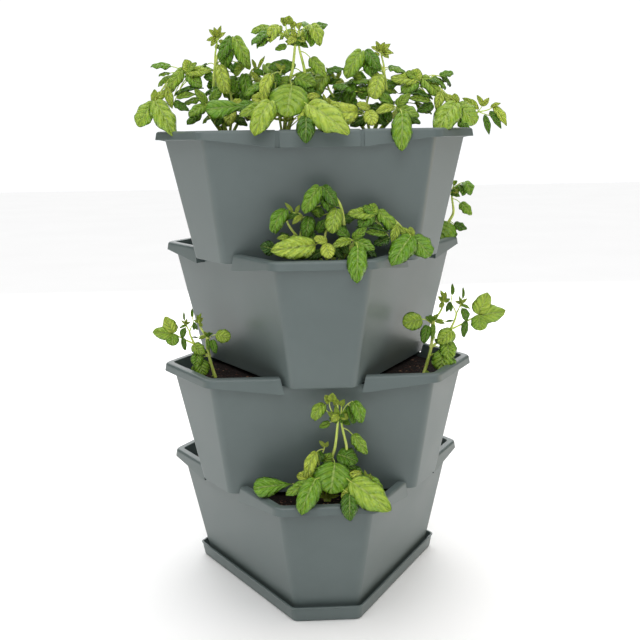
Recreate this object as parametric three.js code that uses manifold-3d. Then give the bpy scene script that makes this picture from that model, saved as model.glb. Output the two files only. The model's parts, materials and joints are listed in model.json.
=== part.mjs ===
// Vertical planter tower: a drip saucer and four planting trays that nest on one another, each turned
// a sixth of a turn to the tray below, so that three corners of every tray stay open as planting pockets.
// Millimetres, +Z up. The origin is on the underside of the saucer, on the axis of the stack.
// A short corner side of the bottom tray faces -Y.
import * as THREE from 'three';
import { mergeVertices } from 'three/addons/utils/BufferGeometryUtils.js';
import Module from 'manifold-3d';

const library = await Module();
library.setup();

// A tray is a truncated triangle in plan: three long sides and three short corner sides
const tray = {
  count: 4,
  height: 195,
  baseSideReach: 137,
  baseCornerReach: 194,
  flare: 38,
  cornerRadius: 14,
  wall: 3,
  floor: 3.5,
  footRound: 2.5,
  nestDepth: 15,
};

// The rim turns out over the wall and hangs down as a band, which is deeper beside the notches
const rim = {
  overhang: 10,
  thickness: 3,
  cornerDepth: 13,
  notchDepth: 25,
  round: 4.5,
  shoulder: 1.5,
  lean: 1.2,
  cornerRadius: 20,
};

// A notch in the middle of each long side takes a corner of the tray above
const notch = {
  clearance: 4,
  endSlopeShare: 0.22,
  web: 3,
  grooveWidth: 6,
  grooveDepth: 1.2,
};

const drain = { diameter: 9, ringRadius: 95, count: 9 };

const saucer = {
  height: 24,
  sideMargin: 8.5,
  cornerMargin: 10.5,
  flare: 4,
  cornerRadius: 12,
  wall: 2.4,
  floor: 2.5,
  footRound: 3,
  lipDepth: 3,
  lipOverhang: 1,
};

// Compost stops this far below the tray above, or below the rim in the top tray. Its top dips between
// lumps, and each plant stands on a mound as high as the lumps.
const soil = {
  belowNextTray: 4,
  belowTopRim: 12,
  edgeRound: 4,
  dip: 3.5,
  lumpSpacing: 50,
  moundRadius: 14,
  moundFootRadius: 24,
};

const plant = {
  spread: 174,
  height: 172,
  depthShare: 1.83,
  stemDiameter: 5.2,
  shootDiameter: 3.6,
  stalkDiameter: 2.4,
  leafThickness: 1.8,
  leafFold: 1.6,
};

// Touching pieces stand this far apart, and a cutter runs this far past what it cuts
const gap = 0.3;
const overrun = 1;

const arcSteps = 3;
const stemSides = 5;
const drainSides = 8;
const moundSides = 8;
const sixthTurn = Math.PI / 3;
const thirdTurn = 2 * sixthTurn;
const pitch = tray.height - tray.nestDepth;
const soilDepth = pitch - soil.belowNextTray;
const topSoilDepth = tray.height - soil.belowTopRim;

// Colours, roughness and metalness of the materials
const plastic = new THREE.MeshStandardMaterial({ color: 0x626967, roughness: 0.5, metalness: 0 });
const compost = new THREE.MeshStandardMaterial({ color: 0x2e211c, roughness: 0.95, metalness: 0 });
const foliage = new THREE.MeshStandardMaterial({ color: 0x6a9a34, roughness: 0.6, metalness: 0 });

// Outward lean of a tray's wall at height z above its base
const leanAt = (z) => (tray.flare * z) / tray.height;

// Half the width of a tray's corner, seen along its axis, at a reach from the axis and a height
const cornerHalfAt = (reach, z) =>
  (2 * (tray.baseSideReach + leanAt(z)) - reach) * Math.tan(sixthTurn / 2);

// Reach of the long side's wall at the rim, and half the width of a notch at a height of the lower tray
const rimWallReach = tray.baseSideReach + tray.flare - tray.wall;
const rimFaceReach = tray.baseSideReach + tray.flare + rim.overhang;
const rimCornerReach = tray.baseCornerReach + tray.flare;
const notchHalfAt = (reach, z) =>
  cornerHalfAt(rimWallReach, z - pitch) + notch.clearance - notch.endSlopeShare * (reach - rimWallReach);
const notchHalf = notchHalfAt(rimFaceReach, tray.height);

// A closed ring round the axis, anticlockwise from above, with its three long sides facing 90, 210 and
// 330 degrees. Each long side has a point at either edge of its notch, which may lie at its own height.
function ring(sideReach, cornerReach, radius, z, notchZ = z) {
  const points = [];
  const centreSide = ((cornerReach - radius) - (sideReach - radius) / 2) / Math.sin(sixthTurn);
  for (let side = 0; side < 3; side += 1) {
    const facing = Math.PI / 2 + side * thirdTurn;
    const place = (reach, across, height) => points.push(new THREE.Vector3(
      reach * Math.cos(facing) - across * Math.sin(facing),
      reach * Math.sin(facing) + across * Math.cos(facing),
      height,
    ));
    const arc = (across, from) => {
      for (let step = 0; step <= arcSteps; step += 1) {
        const turn = from + (sixthTurn * step) / arcSteps;
        place(sideReach - radius + radius * Math.cos(turn), across + radius * Math.sin(turn), z);
      }
    };
    arc(-centreSide, -sixthTurn);
    place(sideReach, -notchHalf, notchZ);
    place(sideReach, notchHalf, notchZ);
    arc(centreSide, 0);
  }
  return points;
}

// A tray's ring, grown outwards from the base outline
const trayRing = (grow, z, radius = tray.cornerRadius, notchZ = z) =>
  ring(tray.baseSideReach + grow, tray.baseCornerReach + grow, radius, z, notchZ);

// Closed surface over a list of rings with equal numbers of points, capped at the first and the last
function skin(rings) {
  const count = rings[0].length;
  const position = [];
  rings.flat().forEach((point) => position.push(point.x, point.y, point.z));
  const index = [];
  for (let level = 0; level < rings.length - 1; level += 1) {
    for (let step = 0; step < count; step += 1) {
      const here = level * count + step;
      const next = level * count + ((step + 1) % count);
      index.push(here, next, next + count);
      index.push(here, next + count, here + count);
    }
  }
  const last = (rings.length - 1) * count;
  for (let step = 1; step < count - 1; step += 1) {
    index.push(0, step + 1, step);
    index.push(last, last + step, last + step + 1);
  }
  const geometry = new THREE.BufferGeometry();
  geometry.setAttribute('position', new THREE.Float32BufferAttribute(position, 3));
  geometry.setIndex(index);
  return geometry;
}

// A solid from a closed geometry, and a geometry from a solid
function toSolid(geometry) {
  const bare = geometry.clone();
  bare.deleteAttribute('normal');
  bare.deleteAttribute('uv');
  const merged = mergeVertices(bare);
  return new library.Manifold(new library.Mesh({
    numProp: 3,
    vertProperties: new Float32Array(merged.attributes.position.array),
    triVerts: new Uint32Array(merged.index.array),
  }));
}

function toGeometry(solid) {
  const mesh = solid.getMesh();
  const geometry = new THREE.BufferGeometry();
  geometry.setAttribute('position', new THREE.Float32BufferAttribute(mesh.vertProperties, 3));
  geometry.setIndex(new THREE.Uint32BufferAttribute(mesh.triVerts, 1));
  geometry.computeVertexNormals();
  return geometry;
}

// Outer form of the rim from the lower edge of its band up to its flat top
const faceGrow = tray.flare + rim.overhang;
const bandBottom = tray.height - rim.cornerDepth;
const bandNotchBottom = tray.height - rim.notchDepth;
const rimFaceRings = () => [
  trayRing(faceGrow + rim.lean, bandBottom, rim.cornerRadius, bandNotchBottom),
  trayRing(faceGrow, tray.height - rim.round, rim.cornerRadius),
  trayRing(faceGrow - rim.shoulder, tray.height - rim.shoulder, rim.cornerRadius),
  trayRing(faceGrow - rim.round, tray.height, rim.cornerRadius),
];

// Floor, walls and the rim with its hollow band, as one shell of even thickness
function trayShell() {
  const underRim = tray.height - rim.thickness;
  const innerTop = tray.height - rim.shoulder;
  const innerRadius = tray.cornerRadius - tray.wall;
  const innerFoot = tray.floor + tray.footRound;
  return toSolid(skin([
    trayRing(-tray.footRound, 0),
    trayRing(leanAt(tray.footRound), tray.footRound),
    trayRing(leanAt(underRim), underRim),
    trayRing(faceGrow - rim.thickness, underRim, rim.cornerRadius),
    trayRing(faceGrow - rim.thickness + rim.lean, bandBottom, rim.cornerRadius, bandNotchBottom),
    ...rimFaceRings(),
    trayRing(tray.flare - tray.wall + rim.shoulder, tray.height, innerRadius),
    trayRing(leanAt(innerTop) - tray.wall, innerTop, innerRadius),
    trayRing(leanAt(innerFoot) - tray.wall, innerFoot, innerRadius),
    trayRing(leanAt(tray.floor) - tray.wall - tray.footRound, tray.floor, innerRadius),
  ]));
}

// The rim's band filled solid, from which the webs beside the notches are taken
function solidBand() {
  return toSolid(skin([
    trayRing(leanAt(bandNotchBottom) - tray.wall / 2, bandBottom, tray.cornerRadius, bandNotchBottom),
    ...rimFaceRings(),
    trayRing(tray.flare - tray.wall / 2, tray.height, tray.cornerRadius),
  ]));
}

// A block at the notch of one long side, with ends that follow the corner of the tray above
function notchBlock(side, nearReach, bottom, widen = 0) {
  const farReach = rimFaceReach + rim.lean + overrun;
  const top = tray.height + overrun;
  const facing = Math.PI / 2 + side * thirdTurn;
  const corners = [[nearReach, 1], [nearReach, -1], [farReach, -1], [farReach, 1]];
  const level = (z) => corners.map(([reach, hand]) => {
    const across = hand * (notchHalfAt(reach, z) + widen);
    return new THREE.Vector3(reach, across, z).applyAxisAngle(new THREE.Vector3(0, 0, 1), facing);
  });
  return toSolid(skin([level(bottom), level(top)]));
}

// A groove down the band and across the top of the rim, along one edge of a panel that closes a notch
function grooveBlocks(side, hand) {
  const facing = Math.PI / 2 + side * thirdTurn;
  const block = (near, far, low, high) => {
    const box = new THREE.BoxGeometry(far - near, notch.grooveWidth, high - low);
    const across = hand * (notchHalf - notch.grooveWidth / 2);
    box.translate((near + far) / 2, across, (low + high) / 2);
    box.rotateZ(facing);
    return toSolid(box);
  };
  const farReach = rimFaceReach + rim.lean + overrun;
  const faceBlock = block(
    rimFaceReach - notch.grooveDepth, farReach, bandNotchBottom - overrun, tray.height + overrun,
  );
  const topBlock = block(
    rimWallReach - overrun, farReach, tray.height - notch.grooveDepth, tray.height + overrun,
  );
  return faceBlock.add(topBlock);
}

// Three open notches: the wall stops at a ledge that carries the tray above, and the band is cut away
// between two webs that close its ends
function openNotches(shell) {
  const band = solidBand();
  const ledge = pitch - gap;
  const bottom = bandNotchBottom - overrun;
  let result = shell;
  for (let side = 0; side < 3; side += 1) {
    const webs = band
      .intersect(notchBlock(side, rimWallReach, bottom, notch.web))
      .subtract(notchBlock(side, rimWallReach - overrun, bottom - overrun));
    result = result.subtract(notchBlock(side, rimWallReach + tray.wall, bottom));
    result = result.subtract(notchBlock(side, rimWallReach - tray.flare, ledge));
    result = result.add(webs);
  }
  return result;
}

// Three notches still closed by their panels, each marked off by two grooves
function closedNotches(shell) {
  let result = shell;
  for (let side = 0; side < 3; side += 1) {
    result = result.subtract(grooveBlocks(side, 1)).subtract(grooveBlocks(side, -1));
  }
  return result;
}

function drilledFloor(shell) {
  let result = shell;
  for (let hole = 0; hole < drain.count; hole += 1) {
    const turn = (2 * Math.PI * hole) / drain.count + Math.PI / 2;
    const cutter = new THREE.CylinderGeometry(
      drain.diameter / 2, drain.diameter / 2, tray.floor + 2 * overrun, drainSides,
    );
    cutter.rotateX(Math.PI / 2);
    cutter.translate(drain.ringRadius * Math.cos(turn), drain.ringRadius * Math.sin(turn), tray.floor / 2);
    result = result.subtract(toSolid(cutter));
  }
  return result;
}

// How far the compost dips at a place of its lumps, from nothing to one for its full dip
function dipShareAt(column, row, tier) {
  const wave = Math.sin(1.9 * column + 2.7 * row + tier) + Math.sin(3.1 * column - 1.3 * row + 2 * tier);
  return (wave + 2) / 4;
}

// A slab whose underside is the uneven top of the compost
function slabOverSoil(depth, tier) {
  const cells = 2 * Math.ceil(rimCornerReach / soil.lumpSpacing);
  const span = cells * soil.lumpSpacing;
  const slab = new THREE.BoxGeometry(span, span, 1, cells, cells, 1);
  const place = slab.attributes.position;
  for (let step = 0; step < place.count; step += 1) {
    const column = place.getX(step) / soil.lumpSpacing;
    const row = place.getY(step) / soil.lumpSpacing;
    const under = depth - soil.dip * dipShareAt(column, row, tier);
    place.setZ(step, place.getZ(step) < 0 ? under : depth + overrun);
  }
  return toSolid(slab);
}

// The mound that a plant stands on, reaching from the lumps' height down past the dips
function moundAt(root, depth) {
  const height = 2 * soil.dip;
  const slope = (soil.moundFootRadius - soil.moundRadius) / soil.dip;
  const mound = new THREE.CylinderGeometry(
    soil.moundRadius, soil.moundRadius + slope * height, height, moundSides,
  );
  mound.rotateX(Math.PI / 2);
  mound.translate(root.x, root.y, depth - height / 2);
  return toSolid(mound);
}

// Compost filling a tray up to a depth above its base, with a mound at each of its plants' roots
function soilFill(depth, tier, roots) {
  const bottom = tray.floor + gap;
  const innerFoot = tray.floor + tray.footRound;
  const inside = (z) => leanAt(z) - tray.wall - gap;
  const radius = tray.cornerRadius - tray.wall - gap;
  const shoulder = depth - soil.edgeRound;
  const fill = toSolid(skin([
    trayRing(inside(bottom) - tray.footRound, bottom, radius),
    trayRing(inside(innerFoot), innerFoot + gap, radius),
    trayRing(inside(shoulder), shoulder, radius),
    trayRing(inside(shoulder) - soil.edgeRound, depth, radius),
  ]));
  let dips = slabOverSoil(depth, tier);
  roots.forEach((root) => {
    dips = dips.subtract(moundAt(root, depth));
  });
  return toGeometry(fill.subtract(dips));
}

function saucerShell() {
  const lipBottom = saucer.height - saucer.lipDepth;
  const sideReach = tray.baseSideReach + saucer.sideMargin;
  const cornerReach = tray.baseCornerReach + saucer.cornerMargin;
  const level = (grow, z, radius = saucer.cornerRadius) =>
    ring(sideReach + grow, cornerReach + grow, radius, z);
  const leanOf = (z) => (saucer.flare * z) / saucer.height;
  const innerRadius = saucer.cornerRadius - saucer.wall;
  const innerFoot = saucer.floor + saucer.footRound;
  return skin([
    level(-saucer.footRound, 0),
    level(leanOf(saucer.footRound), saucer.footRound),
    level(leanOf(lipBottom), lipBottom),
    level(leanOf(lipBottom) + saucer.lipOverhang, lipBottom + saucer.lipOverhang),
    level(saucer.flare + saucer.lipOverhang, saucer.height),
    level(saucer.flare - saucer.wall, saucer.height, innerRadius),
    level(leanOf(innerFoot) - saucer.wall, innerFoot, innerRadius),
    level(leanOf(saucer.floor) - saucer.wall - saucer.footRound, saucer.floor, innerRadius),
  ]);
}

// Growth of the three kinds of plant. A place is across, back and up from the root, as shares of the
// plant's spread, depth and height. A leaf springs from a stem, at a share of the way along it.
const bushShares = {
  stems: [
    [[0, 0, 0], [-0.056, 0, 0.35], [-0.016, -0.016, 0.72], [-0.072, -0.016, 0.98]],
    [[0, 0, 0], [0.08, 0.032, 0.4], [0.144, 0.032, 0.52], [0.096, 0.016, 0.84]],
    [[0, 0, 0], [-0.2, 0.04, 0.34], [-0.36, 0.016, 0.52], [-0.424, 0, 0.72]],
    [[0, 0, 0], [0.24, 0, 0.34], [0.44, 0.04, 0.66], [0.624, 0.08, 0.6], [0.832, 0.096, 0.4]],
  ],
  leaves: [
    { stem: 0, at: 1, base: [-0.096, -0.032, 1], tip: [-0.24, -0.128, 0.7], width: 0.192 },
    { stem: 0, at: 0.98, base: [-0.04, -0.024, 0.99], tip: [0.048, -0.112, 0.74], width: 0.16 },
    { stem: 1, at: 0.6, base: [0.056, -0.048, 0.72], tip: [0, -0.16, 0.42], width: 0.2 },
    { stem: 2, at: 1, base: [-0.432, -0.016, 0.72], tip: [-0.56, -0.08, 0.46], width: 0.16 },
    { stem: 2, at: 0.85, base: [-0.368, 0.048, 0.68], tip: [-0.4, 0.112, 0.88], width: 0.096 },
    { stem: 0, at: 0.2, base: [-0.16, -0.24, 0.3], tip: [-0.56, -0.336, 0.26], width: 0.224 },
    { stem: 2, at: 0.5, base: [-0.4, 0.016, 0.36], tip: [-0.672, 0.016, 0.24], width: 0.144 },
    { stem: 0, at: 0.3, base: [-0.056, -0.208, 0.32], tip: [0, -0.32, 0.22], width: 0.144 },
    { stem: 3, at: 0.2, base: [0.176, -0.16, 0.38], tip: [0.016, -0.272, 0.32], width: 0.128 },
    { stem: 3, at: 0.25, base: [0.256, -0.128, 0.46], tip: [0.416, -0.24, 0.28], width: 0.176 },
    { stem: 3, at: 0.1, base: [0.216, -0.368, 0.36], tip: [0.216, -0.504, -0.1], width: 0.208 },
    { stem: 3, at: 0.55, base: [0.4, -0.016, 0.76], tip: [0.24, -0.048, 0.6], width: 0.16 },
    { stem: 3, at: 0.62, base: [0.496, 0.048, 0.72], tip: [0.672, 0.032, 0.44], width: 0.144 },
    { stem: 3, at: 0.8, base: [0.736, -0.048, 0.46], tip: [0.608, -0.272, 0.14], width: 0.256 },
    { stem: 3, at: 1, base: [0.848, 0.048, 0.4], tip: [0.976, -0.016, 0.12], width: 0.224 },
    { stem: 1, at: 0.4, base: [0.08, 0.128, 0.5], tip: [0.288, 0.192, 0.58], width: 0.16 },
  ],
};

const uprightShares = {
  stems: [
    [[0, 0, 0], [0.05, -0.02, 0.28], [0.08, -0.06, 0.48], [0.1, -0.12, 0.74]],
    [[0, 0, 0], [0.14, -0.02, 0.32], [0.17, -0.05, 0.5], [0.12, -0.12, 0.74]],
    [[0, 0, 0], [-0.06, 0, 0.26], [-0.08, -0.04, 0.5]],
  ],
  leaves: [
    { stem: 0, at: 0.5, base: [0.09, -0.12, 0.4], tip: [0.04, -0.24, 0.12], width: 0.27 },
    { stem: 1, at: 0.6, base: [0.15, -0.04, 0.46], tip: [0.28, -0.1, 0.32], width: 0.18 },
    { stem: 0, at: 0.2, base: [-0.13, -0.2, 0.26], tip: [-0.24, -0.5, 0.12], width: 0.2 },
    { stem: 0, at: 0.15, base: [-0.27, -0.1, 0.26], tip: [-0.6, -0.14, 0.24], width: 0.18 },
    { stem: 0, at: 0.15, base: [0.17, -0.38, 0.2], tip: [0.16, -0.49, 0.02], width: 0.16 },
    { stem: 1, at: 0.25, base: [0.31, -0.28, 0.26], tip: [0.48, -0.47, 0.09], width: 0.25 },
    { stem: 1, at: 0.3, base: [0.27, -0.14, 0.32], tip: [0.45, -0.2, 0.3], width: 0.14 },
    { stem: 0, at: 1, base: [-0.02, -0.17, 0.9], tip: [-0.1, -0.21, 0.76], width: 0.13 },
    { stem: 0, at: 1, base: [0.07, -0.15, 0.86], tip: [0.02, -0.17, 0.99], width: 0.12 },
    { stem: 1, at: 1, base: [0.21, -0.16, 0.9], tip: [0.3, -0.19, 0.73], width: 0.14 },
    { stem: 1, at: 0.8, base: [0.25, -0.12, 0.63], tip: [0.34, -0.16, 0.48], width: 0.13 },
    { stem: 0, at: 0.9, base: [0.03, -0.14, 0.7], tip: [-0.06, -0.16, 0.64], width: 0.1 },
    { stem: 2, at: 1, base: [-0.09, -0.06, 0.5], tip: [-0.15, -0.1, 0.32], width: 0.1 },
  ],
};

const sprigShares = {
  stems: [
    [[0, 0, 0], [0.05, 0, 0.15], [0.09, 0, 0.32], [0.1, 0, 0.56], [0.2, 0, 0.8]],
    [[0.08, 0, 0.28], [0.28, 0, 0.48], [0.35, 0, 0.66], [0.4, 0, 0.82]],
    [[0.28, 0, 0.48], [0.42, 0, 0.56], [0.54, 0, 0.62], [0.63, 0, 0.66]],
  ],
  leaves: [
    { stem: 0, at: 0.72, base: [-0.04, -0.02, 0.62], tip: [-0.22, -0.04, 0.6], width: 0.2 },
    { stem: 0, at: 0.74, base: [0.05, -0.04, 0.56], tip: [-0.03, -0.1, 0.38], width: 0.14 },
    { stem: 0, at: 1, base: [0.2, 0, 0.82], tip: [0.17, 0, 0.96], width: 0.1 },
    { stem: 1, at: 1, base: [0.4, 0, 0.83], tip: [0.42, 0, 1], width: 0.07 },
    { stem: 1, at: 0.5, base: [0.27, -0.04, 0.54], tip: [0.17, -0.1, 0.36], width: 0.18 },
    { stem: 2, at: 1, base: [0.64, 0, 0.68], tip: [0.69, -0.02, 0.9], width: 0.2 },
    { stem: 2, at: 1, base: [0.66, 0, 0.66], tip: [0.88, -0.02, 0.68], width: 0.18 },
    { stem: 2, at: 1, base: [0.63, -0.01, 0.64], tip: [0.62, -0.04, 0.5], width: 0.14 },
    { stem: 2, at: 0.5, base: [0.46, -0.02, 0.58], tip: [0.47, -0.06, 0.44], width: 0.08 },
    { stem: 0, at: 0.5, base: [0.19, -0.06, 0.36], tip: [0.3, -0.12, 0.22], width: 0.17 },
    { stem: 0, at: 0.3, base: [0.16, -0.08, 0.3], tip: [0.32, -0.14, 0.2], width: 0.25 },
  ],
};

// Directions in which the planted pockets open
const pocketTurns = {
  front: -Math.PI / 2,
  left: Math.PI + sixthTurn / 2,
  right: -sixthTurn / 2,
  backRight: sixthTurn / 2,
};

// Where each plant grows and how large it is. Out is a share of the way from the wall of the tray above
// to the corner's rim, or from the axis to the long side's wall in the top tray, across is a share of the
// corner's reach, and spread and height are shares of the largest plant's. Hand is -1 for a plant that
// grows to the left, and without lists the leaves, by their place in the table, that it doesn't have.
const plantShares = [
  {
    name: 'upright_plant_1_front', tier: 0, kind: uprightShares, spread: 1, height: 1,
    facing: 'front', out: 0.347, across: 0.013, hand: 1, without: [],
  },
  {
    name: 'sprig_plant_2_left', tier: 1, kind: sprigShares, spread: 0.6, height: 0.63,
    facing: 'left', out: 0.538, across: -0.006, hand: -1, without: [],
  },
  {
    name: 'sprig_plant_2_right', tier: 1, kind: sprigShares, spread: 0.805, height: 0.814,
    facing: 'right', out: 0.598, across: -0.05, hand: 1, without: [],
  },
  {
    name: 'bushy_plant_3_front', tier: 2, kind: bushShares, spread: 0.833, height: 0.686,
    facing: 'front', out: 0.516, across: 0.052, hand: 1, without: [],
  },
  {
    name: 'upright_plant_3_back', tier: 2, kind: uprightShares, spread: 0.989, height: 0.872,
    facing: 'backRight', out: 0.847, across: -0.083, hand: 1, without: [2, 3, 4, 5, 6],
  },
  {
    name: 'bushy_plant_4_left', tier: 3, kind: bushShares, spread: 0.833, height: 0.849,
    facing: 'front', out: 0.465, across: -0.608, hand: -1, without: [10],
  },
  {
    name: 'upright_plant_4_centre', tier: 3, kind: uprightShares, spread: 1, height: 0.977,
    facing: 'front', out: 0.791, across: -0.216, hand: 1, without: [3],
  },
  {
    name: 'bushy_plant_4_right', tier: 3, kind: bushShares, spread: 0.876, height: 0.709,
    facing: 'front', out: 0.721, across: 0.345, hand: 1, without: [],
  },
  {
    name: 'sprig_plant_4_right', tier: 3, kind: sprigShares, spread: 0.701, height: 0.419,
    facing: 'front', out: 0.372, across: 0.741, hand: 1, without: [],
  },
];

// A round stem through a list of points, its foot cut level, tapering from one diameter to another
function stemTube(points, startDiameter, endDiameter) {
  const upright = new THREE.Vector3(0, 0, 1);
  const rings = points.map((point, step) => {
    const after = points[Math.min(step + 1, points.length - 1)];
    const along = step === 0 ? upright : after.clone().sub(points[step - 1]).normalize();
    const across = new THREE.Vector3(0, 1, 0).cross(along).normalize();
    const back = along.clone().cross(across);
    const share = step / (points.length - 1);
    const radius = THREE.MathUtils.lerp(startDiameter, endDiameter, share) / 2;
    return Array.from({ length: stemSides }, (_, side) => {
      const turn = (2 * Math.PI * side) / stemSides;
      return point.clone()
        .addScaledVector(across, radius * Math.cos(turn))
        .addScaledVector(back, radius * Math.sin(turn));
    });
  });
  return toSolid(skin(rings));
}

// Width and thickness of a blade at its stations, from its base to its tip
const bladeShares = [
  { along: 0.36, width: 1, thickness: 1 },
  { along: 0.72, width: 0.72, thickness: 1 },
  { along: 1, width: 0.08, thickness: 0.5 },
];

// A leaf on its stalk: a square stalk from the stem to the base of a blade, which is folded a little
// along its midrib and turns its face up and to the front
function leafOnStalk(start, base, tip, width) {
  const stalkRun = base.clone().sub(start);
  const bladeRun = tip.clone().sub(base);
  const facing = new THREE.Vector3(0, -1, 1).normalize();
  const across = bladeRun.clone().cross(facing).normalize();
  const section = (middle, along, half, lift, thick) => {
    const up = across.clone().cross(along).normalize();
    const point = (side, rise) => middle.clone().addScaledVector(across, side).addScaledVector(up, rise);
    return [point(0, -thick / 2), point(-half, lift), point(0, thick / 2), point(half, lift)];
  };
  const stalkHalf = plant.stalkDiameter / 2;
  const stalk = (middle, along) => section(middle, along, stalkHalf, 0, plant.stalkDiameter);
  const turn = stalkRun.clone().normalize().add(bladeRun.clone().normalize());
  const blade = bladeShares.map((station) => section(
    base.clone().addScaledVector(bladeRun, station.along),
    bladeRun,
    (width * station.width) / 2,
    plant.leafFold * station.width,
    plant.leafThickness * station.thickness,
  ));
  return toSolid(skin([stalk(start, stalkRun), stalk(base, turn), ...blade]));
}

// Point at a share of the way along a stem
function alongStem(points, share) {
  const reach = share * (points.length - 1);
  const from = Math.min(Math.floor(reach), points.length - 2);
  return points[from].clone().lerp(points[from + 1], reach - from);
}

// The point in the compost that a plant springs from
function rootOf(row) {
  const isTop = row.tier === tray.count - 1;
  const nearReach = isTop ? 0 : tray.baseSideReach;
  const farReach = isTop ? rimWallReach : rimCornerReach;
  return new THREE.Vector3(
    THREE.MathUtils.lerp(nearReach, farReach, row.out),
    row.across * rimCornerReach,
    (isTop ? topSoilDepth : soilDepth) + gap,
  ).applyAxisAngle(new THREE.Vector3(0, 0, 1), pocketTurns[row.facing]);
}

function growPlant(row) {
  const root = rootOf(row);
  const spread = row.spread * plant.spread;
  const depth = row.spread * plant.depthShare * (rimCornerReach - tray.baseSideReach);
  const height = row.height * plant.height;
  const place = ([across, back, up]) =>
    new THREE.Vector3(row.hand * across * spread, back * depth, up * height).add(root);
  const stems = row.kind.stems.map((stem) => stem.map(place));
  const solids = stems.map((stem) => stemTube(stem, plant.stemDiameter, plant.shootDiameter));
  row.kind.leaves.filter((_, order) => !row.without.includes(order)).forEach((leaf) => {
    const start = alongStem(stems[leaf.stem], leaf.at);
    solids.push(leafOnStalk(start, place(leaf.base), place(leaf.tip), leaf.width * spread));
  });
  return toGeometry(solids.reduce((whole, solid) => whole.add(solid)));
}

function addMesh(parent, name, geometry, material) {
  const mesh = new THREE.Mesh(geometry, material.clone());
  mesh.name = name;
  parent.add(mesh);
  return mesh;
}

const group = new THREE.Group();
addMesh(group, 'saucer', saucerShell(), plastic);

for (let tier = 0; tier < tray.count; tier += 1) {
  const isTop = tier === tray.count - 1;
  const number = tier + 1;
  const level = new THREE.Group();
  level.position.z = saucer.floor + gap + tier * pitch;
  group.add(level);
  const shell = drilledFloor(isTop ? closedNotches(trayShell()) : openNotches(trayShell()));
  const plants = plantShares.filter((row) => row.tier === tier);
  const upright = new THREE.Vector3(0, 0, 1);
  const roots = plants.map((row) => rootOf(row).applyAxisAngle(upright, -tier * sixthTurn));
  const fillShape = soilFill(isTop ? topSoilDepth : soilDepth, tier, roots);
  const body = addMesh(level, `tray_${number}`, toGeometry(shell), plastic);
  const fill = addMesh(level, `soil_${number}`, fillShape, compost);
  body.rotation.z = tier * sixthTurn;
  fill.rotation.z = tier * sixthTurn;
  plants.forEach((row) => {
    addMesh(level, row.name, growPlant(row), foliage);
  });
}

export default group;
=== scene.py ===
"""Vertical planter tower: the looks of its saucer, trays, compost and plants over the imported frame."""
import json
import logging
import math
import random
from collections.abc import Sequence
from dataclasses import dataclass, field, replace
from enum import Enum

import bmesh
import bpy
from bpy.types import Collection, ID, Material, Node, NodeOutputs, NodeSocket, NodeTree, Object
from mathutils import Matrix, Vector, noise

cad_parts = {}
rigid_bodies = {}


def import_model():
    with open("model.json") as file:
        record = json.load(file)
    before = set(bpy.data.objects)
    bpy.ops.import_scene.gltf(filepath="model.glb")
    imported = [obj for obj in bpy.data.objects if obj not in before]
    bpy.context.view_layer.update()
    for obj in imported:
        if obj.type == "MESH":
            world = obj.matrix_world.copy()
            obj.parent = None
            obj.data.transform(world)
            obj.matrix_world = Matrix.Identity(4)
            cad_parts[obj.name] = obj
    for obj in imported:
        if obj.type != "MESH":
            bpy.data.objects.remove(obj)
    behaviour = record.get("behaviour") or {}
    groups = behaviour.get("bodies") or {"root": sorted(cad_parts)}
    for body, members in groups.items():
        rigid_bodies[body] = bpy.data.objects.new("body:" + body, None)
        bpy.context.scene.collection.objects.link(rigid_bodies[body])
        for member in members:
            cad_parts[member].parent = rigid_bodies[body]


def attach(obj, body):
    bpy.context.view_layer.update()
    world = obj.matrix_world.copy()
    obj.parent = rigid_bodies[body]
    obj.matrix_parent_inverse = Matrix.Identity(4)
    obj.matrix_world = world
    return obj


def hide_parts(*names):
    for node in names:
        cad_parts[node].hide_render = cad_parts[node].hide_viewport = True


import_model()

LOG = logging.getLogger("planter_tower")
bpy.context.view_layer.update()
MM = 0.001
SIXTH_TURN = math.pi / 3
THIRD_TURN = 2 * SIXTH_TURN
# A leaf's side veins, in its shape and in its finish: pairs along the blade, and how far they rake forwards
VEIN_PAIRS = 5.0
VEIN_RAKE = 0.42

Place = tuple[float, float, float]
Profile = list[tuple[float, float]]
Faces = list[tuple[int, ...]]
Tones = tuple[tuple[float, str], ...]
Span = tuple[tuple[int, float], tuple[int, float]]
Tube = tuple[list[Vector], float, float]

# Small helpers


def linear(code: str) -> tuple[float, float, float, float]:
    """Turns an sRGB hex colour into linear light.

    Args:
        code: The colour as six hex digits.

    Returns:
        Red, green, blue and an alpha of one.
    """
    values = [int(code[place:place + 2], 16) / 255 for place in (0, 2, 4)]
    red, green, blue = (
        value / 12.92 if value <= 0.04045 else ((value + 0.055) / 1.055) ** 2.4 for value in values
    )
    return red, green, blue, 1.0


def add_node(tree: NodeTree, kind: str, inputs: dict | None = None, stops: Tones = (),
             **settings: object) -> Node:
    """Adds a node to a shader or geometry tree, with its settings, its colour stops and its links.

    Args:
        tree: The tree that takes the node.
        kind: The node's type name.
        inputs: Name or number of a live input to a constant, to the socket that it is linked from, or to the
            node whose first live output it is linked from.
        stops: Place and sRGB hex colour of each stop of a colour ramp.
        **settings: Properties of the node.

    Returns:
        The new node.
    """
    node = tree.nodes.new(kind)
    for name, value in settings.items():
        setattr(node, name, value)
    for number, (place, code) in enumerate(stops):
        elements = node.color_ramp.elements
        element = elements[number] if number < 2 else elements.new(place)
        element.position = place
        element.color = linear(code)
    live = [socket for socket in node.inputs if socket.enabled]
    for name, value in (inputs or {}).items():
        socket = live[name] if isinstance(name, int) else next(each for each in live if each.name == name)
        if isinstance(value, Node):
            value = next(each for each in value.outputs if each.enabled)
        if isinstance(value, NodeSocket):
            tree.links.new(value, socket)
        else:
            socket.default_value = value
    return node


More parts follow.
